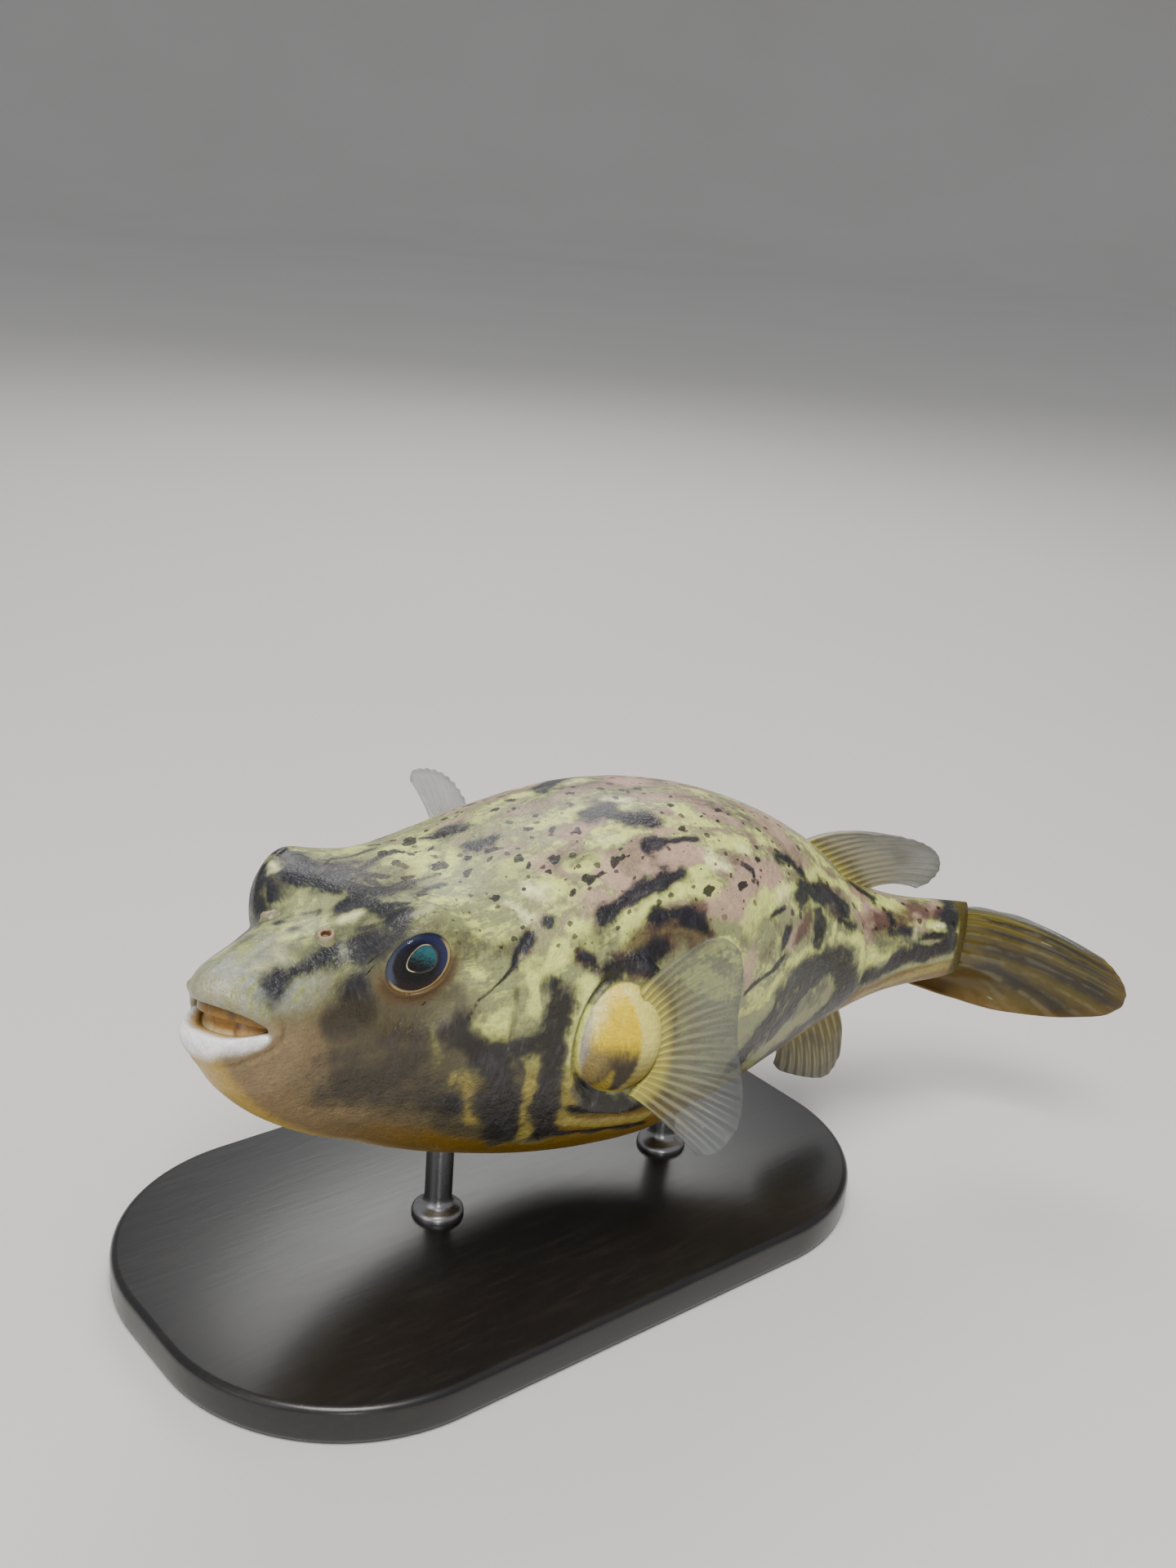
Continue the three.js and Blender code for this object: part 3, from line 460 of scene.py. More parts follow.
class PufferSkinSettings(bpy.types.PropertyGroup):
    around: bpy.props.IntProperty(name="Faces around", description="Faces round the body", default=300)
    along: bpy.props.IntProperty(name="Faces along", description="Faces from lips to tail", default=286)
    straw: colour("Straw", "Yellow-green ground of the head and neck", 150, 154, 106)
    lemon: colour("Lemon", "Bright lines and splotches", 226, 234, 132)
    ochre: colour("Ochre", "Yellow gaps between the low bars", 162, 146, 66)
    # Glow is the colour of the painted highlights, where the wet skin mirrors the lamps.
    glow: colour("Glow", "Brightest, nearly white splotches", 255, 255, 190)
    mauve: colour("Mauve", "Pinkish ground of the back", 152, 130, 108)
    salmon: colour("Salmon", "Pink patches of the back", 196, 164, 142)
    dusk: colour("Dusk", "Olive-grey shading of the ground", 66, 62, 54)
    slate: colour("Slate", "Dark marks of the back and head", 26, 26, 36)
    umber: colour("Umber", "Dark bars low on the side", 30, 25, 22)
    haze: colour("Haze", "Greyer parts of the dark marks", 74, 72, 80)
    rust: colour("Rust", "Reddish-brown marks", 78, 47, 42)
    spot: colour("Spot", "Small spots of the back", 26, 20, 26)
    cheek: colour("Cheek", "Brown of the cheeks", 76, 66, 44)
    olive: colour("Olive", "Olive sides of the head above the cheeks", 118, 112, 82)
    snout: colour("Snout", "Grey-cream of the snout", 158, 164, 154)
    chin: colour("Chin", "Beige of the chin and throat", 142, 120, 84)
    # Gold is the belly edge's own golden colour, painted darker as the shade of the lower side.
    gold: colour("Gold", "Golden edge of the belly", 124, 92, 4)
    belly: colour("Belly", "Cream-yellow underside", 190, 158, 78)
    lid: colour("Lid", "Golden brown under the eyes", 88, 62, 20)
    lip: colour("Lip", "Olive-cream upper lip", 158, 148, 112)
    white_lip: colour("White lip", "White lower lip", 255, 255, 255)
    tongue: colour("Inner lip", "Cream inner side of the lower lip", 218, 178, 104)
    gum: colour("Gum", "Golden lining of the mouth", 118, 84, 26)
    # Painted shade: the dark deep in the back of the mouth.
    mouth_shade: colour("Gullet", "Dark back of the mouth", 54, 34, 12)
    # Slit is painted shade: the dark inside the gill slits.
    slit: colour("Gill slit", "Dark of the gill slits", 22, 16, 10)
    stub: colour("Stub", "Olive end of the tail root", 84, 74, 24)
    pad: colour("Pad", "Golden pads at the pectoral fins", 228, 196, 22)
    # Cream is partly the pads' own pale skin and partly a painted highlight on their tops.
    cream: colour("Cream", "Pale tops of those pads", 255, 252, 188)
    bark: colour("Bark", "Brown lower half of those pads", 38, 26, 8)
    silver: colour("Silver", "Silvery fronts of those pads", 168, 160, 158)
    rim: colour("Rim", "Beaded pale-yellow rear rims of those pads", 228, 220, 124)
    pad_shade: colour("Pad shade", "Beige lower half of those pads", 128, 112, 74)
    pad_wedge: colour("Pad wedge", "Olive-gold wedge low on those pads", 150, 130, 34)
    pad_foot: colour("Pad foot", "Yellow lowest tip of those pads", 190, 166, 30)
    rim_shade: colour("Rim shade", "Olive lower half of their rims", 128, 110, 44)
    nose_foot: colour("Nose foot", "Olive foot of the nose rings", 128, 128, 92)
    nose_rim: colour("Nose rim", "Pinkish rim of the nose rings", 156, 140, 112)
    nose_opening: colour("Nose opening", "Reddish brown inside the nose rings", 116, 66, 46)


class PufferEyeSettings(bpy.types.PropertyGroup):
    ball: length("Ball", "Radius of each eyeball", EYE["ball"] * MM)
    pupil: length("Pupil", "Radius of each pupil", 1.9 * MM)
    # Navy is partly the iris's own blue and partly a painted reflection of the light above.
    navy: colour("Navy", "Upper rim of the iris", 42, 48, 86)
    night: colour("Night", "Inner iris", 7, 7, 10)
    fleck: colour("Fleck", "Fine flecks of the inner iris", 26, 20, 24)
    umber: colour("Umber", "Lower rim of the iris", 40, 26, 22)
    deep: colour("Deep", "Depth of the pupil", 3, 4, 6)
    ring_gold: colour("Ring", "Thin ring round the pupil", 236, 212, 168)
    rim_gold: colour("Rim", "Cream-gold rim of the iris", 178, 158, 112)
    # Limbus is partly the iris's own blue-grey edge and partly a painted reflection of the lamps.
    limbus: colour("Limbus", "Blue-grey snoutward edge of the iris", 76, 84, 104)
    # Sheen is a painted reflection inside the pupil.
    sheen: colour("Sheen", "Sheen inside the pupil", 46, 112, 122)
    tear: colour("Tear", "Tint of the clear dome", 14, 18, 28)


class PufferBeakSettings(bpy.types.PropertyGroup):
    cream: colour("Cream", "Foot of the lower plate", 236, 222, 176)
    tan: colour("Tan", "Edge of the lower plate", 168, 122, 42)
    shadow: colour("Shadow", "Upper plate under the lip", 46, 36, 14)
    honey: colour("Honey", "Edge of the upper plate", 150, 112, 38)
    groove: colour("Groove", "Seam and grooves of the plates", 92, 58, 24)


class PufferFinSettings(bpy.types.PropertyGroup):
    edge: length("Edge", "Thickness of a fin's margin", 0.3 * MM)
    olive: colour("Olive", "Yellow-olive of the fin roots", 128, 114, 40)
    mist: colour("Mist", "Grey-white of the clear margins", 98, 102, 104)
    ray: colour("Ray", "Pale fin rays", 178, 174, 140)
    # Fold is the painted shade in the tail fin's folds; it is also the colour of the fin's darker mottling.
    fold: colour("Fold", "Dark folds of the tail fin", 30, 20, 0)
    amber: colour("Amber", "Golden-brown lower edge and tips of the tail fin", 100, 72, 0)
    shade: colour("Shade", "Olive-grey streaks of the fins", 84, 80, 52)
    glow: colour("Glow", "Yellow glow at the fin roots", 198, 188, 88)
    bronze: colour("Bronze", "Ground of the tail fin", 84, 70, 0)
    sunny: colour("Sunny", "Yellower upper half of the tail fin", 118, 106, 10)


class PufferStandSettings(bpy.types.PropertyGroup):
    corner: length("Corner", "Corner radius of the base", 30 * MM)
    lacquer: colour("Lacquer", "Black satin lacquer of the base", 24, 23, 23)
    pores: colour("Pores", "Browner pores of the lacquer", 40, 36, 33)
    steel: colour("Steel", "Brushed steel of the rods", 168, 168, 170)
    bright: colour("Bright", "Brighter strokes of the steel", 206, 206, 208)


class PufferStageSettings(bpy.types.PropertyGroup):
    camera: bpy.props.FloatVectorProperty(
        name="Camera", description="Place of the camera", subtype="TRANSLATION", unit="LENGTH",
        default=(-0.1494, -0.1884, 0.1651),
    )
    azimuth: bpy.props.FloatProperty(
        name="Azimuth", description="Turn of the camera round the upright", subtype="ANGLE",
        default=math.radians(-40.5),
    )
    down: bpy.props.FloatProperty(
        name="Down", description="How far the camera looks down", subtype="ANGLE",
        default=math.radians(20),
    )
    lean: bpy.props.FloatProperty(
        name="Lean", description="How far the camera leans", subtype="ANGLE", default=math.radians(4.5),
    )
    lens: bpy.props.FloatProperty(name="Lens", description="Focal length in millimetres", default=39.0)
    floor: colour("Floor", "Pale floor", 214, 212, 208)
    floor_light: colour("Floor light", "Lighter clouds of the floor", 226, 224, 221)


# ---- Materials ----
class Value:
    """A socket that can stand in a sum."""

    def __init__(self, finish, socket):
        self.finish = finish
        self.socket = socket

    def sum(self, operation, first, second):
        return self.finish.node("ShaderNodeMath", {"operation": operation}, {0: first, 1: second})

    def __add__(self, other):
        return self.sum("ADD", self, other)

    def __radd__(self, other):
        return self.sum("ADD", other, self)

    def __sub__(self, other):
        return self.sum("SUBTRACT", self, other)

    def __rsub__(self, other):
        return self.sum("SUBTRACT", other, self)

    def __mul__(self, other):
        return self.sum("MULTIPLY", self, other)

    def __rmul__(self, other):
        return self.sum("MULTIPLY", other, self)

    def __pow__(self, other):
        return self.sum("POWER", self, other)

    def least(self, other):
        return self.sum("MINIMUM", self, other)

    def most(self, other):
        return self.sum("MAXIMUM", self, other)

    def wave(self):
        return self.finish.node("ShaderNodeMath", {"operation": "COSINE"}, {0: self})

    def size(self):
        return self.finish.node("ShaderNodeMath", {"operation": "ABSOLUTE"}, {0: self})


class Finish:
    """A material made of nodes."""

    def __init__(self, name):
        self.material = bpy.data.materials.new(name)
        self.material.use_nodes = True
        self.tree = self.material.node_tree
        self.tree.nodes.clear()
        self.shader = self.tree.nodes.new("ShaderNodeBsdfPrincipled")
        output = self.tree.nodes.new("ShaderNodeOutputMaterial")
        self.tree.links.new(self.shader.outputs[0], output.inputs[0])

    def node(self, kind, settings=None, inputs=None, output=0):
        """Adds a node: settings first, then the values or links of its sockets."""
        node = self.tree.nodes.new(kind)
        for key, value in (settings or {}).items():
            setattr(node, key, value)
        for key, value in (inputs or {}).items():
            self.feed(node.inputs[key], value)
        return Value(self, node.outputs[output])

    def feed(self, socket, value):
        if isinstance(value, Value):
            self.tree.links.new(value.socket, socket)
        elif isinstance(value, (tuple, list)) or hasattr(value, "r"):
            value = tuple(value)
            full = len(socket.default_value)
            socket.default_value = value + (1.0,) * (full - len(value))
        else:
            socket.default_value = value

    def set(self, **sockets):
        """Sets or links sockets of the shader, whose names have _ for a space."""
        for name, value in sockets.items():
            self.feed(self.shader.inputs[name.replace("_", " ")], value)

    def place(self):
        return self.node("ShaderNodeTexCoord", output="Object")

    def vector(self, name):
        """A vector attribute of the mesh."""
        return self.node("ShaderNodeAttribute", {"attribute_name": name}, output="Vector")

    def parts(self, name):
        """The three numbers of a vector attribute."""
        vector = self.vector(name)
        parted = self.tree.nodes.new("ShaderNodeSeparateXYZ")
        self.tree.links.new(vector.socket, parted.inputs[0])
        return [Value(self, socket) for socket in parted.outputs]

    def stretch(self, vector, scale, turn=(0, 0, 0)):
        return self.node("ShaderNodeMapping", inputs={"Vector": vector, "Scale": scale, "Rotation": turn})

    def noise(self, vector, grain, detail=3.0, rough=0.55, shift=0.0):
        """Noise whose lumps are about grain millimetres across, around 0.5."""
        return self.node(
            "ShaderNodeTexNoise",
            {"noise_dimensions": "4D"},
            {"Vector": vector, "W": shift, "Scale": 1000 / grain, "Detail": detail, "Roughness": rough},
        )

    def cloud(self, vector, grain, detail=3.0, rough=0.55, shift=0.0):
        """Noise spread out from 0 to 1."""
        value = self.noise(vector, grain, detail, rough, shift)
        return self.node("ShaderNodeMapRange", inputs={0: value, 1: 0.3, 2: 0.7})

    def cells(self, vector, grain, output="Distance", flat=False):
        """Distance to scattered points about grain millimetres apart, or their colours."""
        return self.node(
            "ShaderNodeTexVoronoi",
            {"voronoi_dimensions": "2D" if flat else "3D"},
            {"Vector": vector, "Scale": 1000 / grain},
            output=output,
        )

    def step(self, value, low, high):
        """A smooth step from 0 at low to 1 at high."""
        return self.node(
            "ShaderNodeMapRange", {"interpolation_type": "SMOOTHSTEP"}, {0: value, 1: low, 2: high}
        )

    def blend(self, a, b, share, way="MIX"):
        """A colour that goes from a to b as share goes from 0 to 1."""
        settings = {"data_type": "RGBA", "blend_type": way}
        return self.node("ShaderNodeMix", settings, {"Factor": share, 6: a, 7: b}, output=2)

    def cross(self, a, b, share):
        """A number that goes from a to b as share goes from 0 to 1."""
        return self.node("ShaderNodeMix", inputs={0: share, 2: a, 3: b})

    def shade(self, colour, brightness):
        """A colour multiplied by a number."""
        grey = self.node("ShaderNodeCombineXYZ", inputs={0: brightness, 1: brightness, 2: brightness})
        return self.blend(colour, grey, 1.0, "MULTIPLY")

    def bump(self, height, depth, below=None):
        """Height from 0 to 1, depth in millimetres."""
        inputs = {"Height": height, "Distance": depth * MM, "Strength": 1.0}
        if below:
            inputs["Normal"] = below
        return self.node("ShaderNodeBump", inputs=inputs)


# ---- Making and finishing pieces ----
def only(piece):
    """Makes a piece the one that operators act on."""
    bpy.ops.object.select_all(action="DESELECT")
    piece.select_set(True)
    bpy.context.view_layer.objects.active = piece


def new_grid(name, across, along):
    """A grid primitive, with each vertex's column and row."""
    bpy.ops.object.select_all(action="DESELECT")
    bpy.ops.mesh.primitive_grid_add(x_subdivisions=across, y_subdivisions=along, size=1)
    piece = bpy.context.object
    piece.name = name
    piece.data.name = name
    flat = get_points(piece)
    if len(flat) != (across + 1) * (along + 1):
        raise RuntimeError("the grid has another count of vertices than was asked for")
    column = np.rint((flat[:, 0] + 0.5) * across).astype(int)
    row = np.rint((flat[:, 1] + 0.5) * along).astype(int)
    return piece, column, row


def get_points(piece):
    points = np.empty(len(piece.data.vertices) * 3, np.float32)
    piece.data.vertices.foreach_get("co", points)
    return points.reshape(-1, 3).astype(float)


def set_points(piece, points):
    piece.data.vertices.foreach_set("co", np.ascontiguousarray(points, np.float32).ravel())
    piece.data.update()


def give(piece, name, values):
    """Stores a vector on each vertex."""
    old = piece.data.attributes.get(name)
    attribute = old or piece.data.attributes.new(name, "FLOAT_VECTOR", "POINT")
    attribute.data.foreach_set("vector", np.ascontiguousarray(values, np.float32).ravel())


def take(piece, name):
    values = np.empty(len(piece.data.vertices) * 3, np.float32)
    piece.data.attributes[name].data.foreach_get("vector", values)
    return values.reshape(-1, 3).astype(float)


@contextmanager
def editing(piece):
    """Edit mode on one piece, with all of it selected."""
    only(piece)
    bpy.ops.object.mode_set(mode="EDIT")
    bpy.ops.mesh.select_all(action="SELECT")
    yield
    bpy.ops.object.mode_set(mode="OBJECT")


def weld(piece):
    with editing(piece):
        bpy.ops.mesh.remove_doubles(threshold=WELD)


def point_outwards(piece):
    with editing(piece):
        bpy.ops.mesh.normals_make_consistent(inside=False)


def apply_modifiers(piece):
    only(piece)
    for modifier in list(piece.modifiers):
        bpy.ops.object.modifier_apply(modifier=modifier.name)


def settle(piece):
    """Leaves the object at the origin, unturned and unscaled."""
    only(piece)
    bpy.ops.object.transform_apply(location=True, rotation=True, scale=True)


def to_points(outline):
    """Points in metres of an outline's (radius, rise) rows in millimetres."""
    return [Vector((radius * MM, 0, rise * MM)) for radius, rise in outline]


def spin_outline(name, points, steps, closed=True):
    """Turns an outline about the upright through the origin into a piece."""
    bpy.ops.object.select_all(action="DESELECT")
    bpy.ops.mesh.primitive_plane_add(size=MM)
    piece = bpy.context.object
    piece.name = name
    piece.data.name = name
    bpy.ops.object.mode_set(mode="EDIT")
    bpy.ops.mesh.select_mode(type="VERT")
    bpy.ops.mesh.select_all(action="SELECT")
    bpy.ops.mesh.delete(type="EDGE_FACE")
    bpy.ops.object.mode_set(mode="OBJECT")
    keep_one_vertex(piece)
    piece.data.vertices[0].co = points[0]
    bpy.ops.object.mode_set(mode="EDIT")
    bpy.ops.mesh.select_all(action="SELECT")
    for before, after in zip(points, points[1:]):
        bpy.ops.mesh.extrude_vertices_move(TRANSFORM_OT_translate={"value": after - before})
    bpy.ops.mesh.select_all(action="SELECT")
    bpy.ops.mesh.spin(steps=steps, angle=2 * math.pi, center=(0, 0, 0), axis=(0, 0, 1))
    bpy.ops.mesh.select_all(action="SELECT")
    bpy.ops.mesh.remove_doubles(threshold=1e-6)
    if closed:
        bpy.ops.mesh.fill_holes(sides=0)
    bpy.ops.mesh.select_all(action="SELECT")
    bpy.ops.mesh.normals_make_consistent(inside=not closed)
    bpy.ops.object.mode_set(mode="OBJECT")
    return piece


def keep_one_vertex(piece):
    """Deletes all of a piece's vertices but the first."""
    only(piece)
    bpy.ops.object.mode_set(mode="EDIT")
    bpy.ops.mesh.select_all(action="DESELECT")
    bpy.ops.object.mode_set(mode="OBJECT")
    for vertex in piece.data.vertices[1:]:
        vertex.select = True
    bpy.ops.object.mode_set(mode="EDIT")
    bpy.ops.mesh.delete(type="VERT")
    bpy.ops.object.mode_set(mode="OBJECT")


def finish_piece(piece, material, replaced=(), smooth=True):
    """Gives a piece its material, body, slot and the nodes that it replaces."""
    only(piece)
    if smooth:
        bpy.ops.object.shade_smooth()
    piece.data.materials.clear()
    piece.data.materials.append(material)
    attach(piece, "root")
    if replaced:
        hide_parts(*replaced)


# ---- The skin ----
def ring_levels(count):
    """Rings from the back of the mouth to the tail root, closest at the lips and eyes."""
    fine = np.linspace(-9, STANDARD_LENGTH, 1600)
    gap = 0.16 + 0.26 * ramp(fine, 2, 10) + 0.12 * ramp(fine, 34, 62) + 0.12 * ramp(fine, 66, 90)
    gap = gap + 0.12 * bell(fine, -7, 2.5)
    reach = np.concatenate([[0], np.cumsum(1 / gap[1:])])
    return np.interp(np.linspace(0, reach[-1], count + 1), reach, fine)


def even_angles(rings, count):
    """Angles that share each ring's length out evenly, from the belly round to the belly."""
    fine = np.linspace(-math.pi / 2, 1.5 * math.pi, 721)
    points = body_point(rings[:, None], fine[None, :])
    steps = np.linalg.norm(np.diff(points, axis=1), axis=2)
    run = np.concatenate([np.zeros((len(rings), 1)), np.cumsum(steps, 1)], 1)
    shares = np.linspace(0, 1, count + 1)
    return np.array([np.interp(shares * r[-1], r, fine) for r in run])


class Patch:
    """A round or oval place on the skin that gets rings of its own."""

    def __init__(self, centre, ahead, up, half_long, half_high):
        self.centre = np.asarray(centre, float)
        self.ahead = np.asarray(ahead, float)
        self.up = np.asarray(up, float)
        self.out = np.cross(self.ahead, self.up)
        self.size = np.array([half_long, half_high])

    def flat(self, body):
        """Where points lie on the patch, 1 being its own edge, and their height."""
        away = body - self.centre
        place_on = np.stack([away @ self.ahead, away @ self.up], -1) / self.size
        return place_on, away @ self.out


def eye_patch(mirror):
    rearward, up, axis = eye_directions(mirror)
    tilt = math.radians(EYE["tilt"])
    long_way = rearward * math.cos(tilt) + up * math.sin(tilt)
    high_way = np.cross(axis, long_way)
    return Patch(eye_opening(mirror), long_way, high_way, EYE["long"], EYE["high"])


def lobe_patch(mirror):
    half_width = read_table(SECTIONS, np.array(LOBE["station"]))[6]
    rise = LOBE["left"] if mirror > 0 else LOBE["right"]
    centre = [LOBE["station"], half_width * mirror, rise]
    up = np.array([0, 0, 1.0])
    ahead = np.cross(up, np.array([0, mirror, 0.0]))
    return Patch(centre, ahead, up, LOBE["long"], LOBE["high"])


def sample(table, i, j):
    """A lattice's values between its points."""
    i0 = np.clip(np.floor(i).astype(int), 0, table.shape[0] - 2)
    j0 = np.clip(np.floor(j).astype(int), 0, table.shape[1] - 2)
    u = (i - i0)[..., None]
    v = (j - j0)[..., None]
    low = mix(table[i0, j0], table[i0, j0 + 1], v)
    high = mix(table[i0 + 1, j0], table[i0 + 1, j0 + 1], v)
    return mix(low, high, u)


def find_on_lattice(patch, lattice, i, j, wanted):
    """Lattice places whose points lie on the patch where wanted says."""
    for _ in range(12):
        here = patch.flat(sample(lattice, i, j)[..., :3])[0]
        by_i = (patch.flat(sample(lattice, i + 0.5, j)[..., :3])[0] - here) / 0.5
        by_j = (patch.flat(sample(lattice, i, j + 0.5)[..., :3])[0] - here) / 0.5
        miss = wanted - here
        det = by_i[..., 0] * by_j[..., 1] - by_i[..., 1] * by_j[..., 0]
        det = np.where(np.abs(det) < 1e-9, 1e-9, det)
        step_i = (miss[..., 0] * by_j[..., 1] - miss[..., 1] * by_j[..., 0]) / det
        step_j = (by_i[..., 0] * miss[..., 1] - by_i[..., 1] * miss[..., 0]) / det
        i = i + np.clip(step_i, -4, 4)
        j = j + np.clip(step_j, -4, 4)
    return i, j


def hole_loop(kept):
    """The lattice points round a hole in the kept faces, in order."""
    follow = {}
    for i, j in zip(*np.nonzero(~kept)):
        corners = [(i, j), (i, j + 1), (i + 1, j + 1), (i + 1, j)]
        beyond = [(i - 1, j), (i, j + 1), (i + 1, j), (i, j - 1)]
        for start, end, other in zip(corners, corners[1:] + corners[:1], beyond):
            if kept[other]:
                follow[start] = end
    start = next(iter(follow))
    loop = [start]
    while follow[loop[-1]] != start:
        loop.append(follow[loop[-1]])
        if len(loop) > len(follow):
            raise RuntimeError("the hole's edge crosses itself")
    return np.array(loop)


def eye_rows():
    """Rows from the skin to the socket: radius as a share, height over the skin, depth."""
    rows = [(share, 0.0, None) for share in np.linspace(1.46, 1.28, 4)]
    lid = [(1.25, 0.04), (1.2, 0.1), (1.155, 0.19), (1.115, 0.27), (1.08, 0.3), (1.05, 0.27), (1.025, 0.18)]
    rows += [(share, height, None) for share, height in lid]
    rows += [(1.008, 0.04, None), (1.0, -0.14, None), (1.0, -0.36, None), (1.01, -0.62, None)]
    ball = EYE["ball"] + 0.2
    depth = math.sqrt(EYE["ball"] ** 2 - EYE["opening"] ** 2)
    for turn in (63, 76, 92, 110, 128, 146, 164):
        radius = ball * math.sin(math.radians(turn)) / EYE["opening"]
        rows.append((radius, 0.0, ball * math.cos(math.radians(turn)) - depth))
    return rows


def lobe_rows():
    """Rows up the pectoral lobe, as shares of its own half sizes."""
    outside = list(np.linspace(1.42, 1.12, 6))
    wall = [1.08, 1.05, 1.03, 1.015, 1.005, 0.995, 0.985, 0.97, 0.945, 0.91]
    inside = list(np.linspace(0.87, 0.04, 18))
    return [(share, 0.0, None) for share in outside + wall + inside]


def lobe_height(flat, bed_height):
    """How far out the lobe's surface stands where its skin bed is bed_height."""
    reach = np.minimum(np.linalg.norm(flat, axis=-1), 1)
    along = flat[..., 0] * LOBE["long"]
    crown = -0.6 + LOBE["stand"] * np.sqrt(1 - reach**2 * 0.985) + LOBE["flare"] * along
    share = ramp(reach, 1.035, 0.99)
    joined = np.logaddexp(bed_height / 0.35, crown / 0.35) * 0.35
    return mix(bed_height, joined, share)


def fold_field(points):
    """Signed height that the folds give each point."""
    height = np.zeros(len(points))
    for _, half_width, rise, path in FOLDS:
        for mirror in (1, -1):
            away = path_distance(points, path, mirror)
            height += rise * np.exp(-((away / half_width) ** 2))
    return height


def path_distance(points, path, mirror, shift=0.0):
    """Distance in millimetres from points to a path on the skin."""
    path = np.asarray(path, float)
    ring = path[:, 0] + shift
    turn = path[:, 1] if mirror > 0 else 180 - path[:, 1] - 2 * shift
    if len(path) > 1:
        steps = np.arange(len(path))
        fine = np.linspace(0, len(path) - 1, 14 * (len(path) - 1) + 1)
        ring = np.interp(fine, steps, ring)
        turn = np.interp(fine, steps, turn)
    line = skin_point(ring, turn)
    nearest = np.full(len(points), 1e9)
    near = np.linalg.norm(points - line.mean(0), axis=1) < np.ptp(line, axis=0).max() + 22
    some = points[near]
    best = np.full(len(some), 1e9)
    for spot in line:
        best = np.minimum(best, ((some - spot) ** 2).sum(1))
    nearest[near] = np.sqrt(best)
    return nearest


def wander(points, grain, reach, seed):
    """Points moved about by smooth waves, so that marks get uneven edges."""
    moved = np.array(points)
    for octave in range(3):
        size = grain / 2**octave
        for part in range(3):
            turn = seed + 2.1 * part + 1.7 * octave
            way = np.array([math.sin(3.1 * turn), math.cos(4.7 * turn), math.sin(5.3 * turn + 1)])
            way = way / np.linalg.norm(way)
            wave = np.sin(points @ way * 2 * math.pi / size + 7.1 * turn)
            other = np.roll(way, 1)
            wave = wave * np.cos(points @ other * 2 * math.pi / (size * 1.37) + 3.3 * turn)
            moved[:, part] += reach / 1.6**octave * wave
    return moved


def swell(points, size, seed):
    """A smooth wave between -1 and 1 that a marking's width follows."""
    wave = np.sin(points[:, 0] * 2 * math.pi / size + 2.7 * seed)
    wave = wave + np.sin(points[:, 1] * 2 * math.pi / (size * 0.8) + 1.3 * seed)
    return (wave + np.sin(points[:, 2] * 2 * math.pi / (size * 1.2) + 4.1 * seed)) / 3


def mark_field(points, marks):
    """1 in the middle of a marking, 0.5 at its edge and 0 a half width outside it."""
    field = np.zeros(len(points))
    for number, (name, half_width, strength, path) in enumerate(marks):
        moved = wander(points, 7.5, min(0.8, 0.36 * half_width), number)
        width = half_width * (1 + 0.3 * swell(points, 6.5, number))
        for mirror in (1,) if name.startswith(("near", "far")) else (1, -1):
            shift = 0.0 if mirror > 0 else 1.4 * math.sin(2.3 * number)
            away = path_distance(moved, path, mirror, shift)
            field = np.maximum(field, strength * np.clip(1 - away / (2 * width), 0, 1))
    return field


def spot_field(points):
    """The same for the dark spots, which are uneven patches."""
    field = np.zeros(len(points))
    moved = wander(points, 2.2, 0.34, 4.0)
    for number, (ring, turn, radius) in enumerate(SPOTS):
        for mirror in (1, -1):
            shift = 0.0 if mirror > 0 else 2.5 * math.sin(2.9 * number)
            path = [(ring - radius * 0.5, turn), (ring + radius * 0.5, turn + 1)]
            away = path_distance(moved, path, mirror, shift)
            field = np.maximum(field, np.clip(1 - away / (1.7 * radius), 0, 1))
    return field


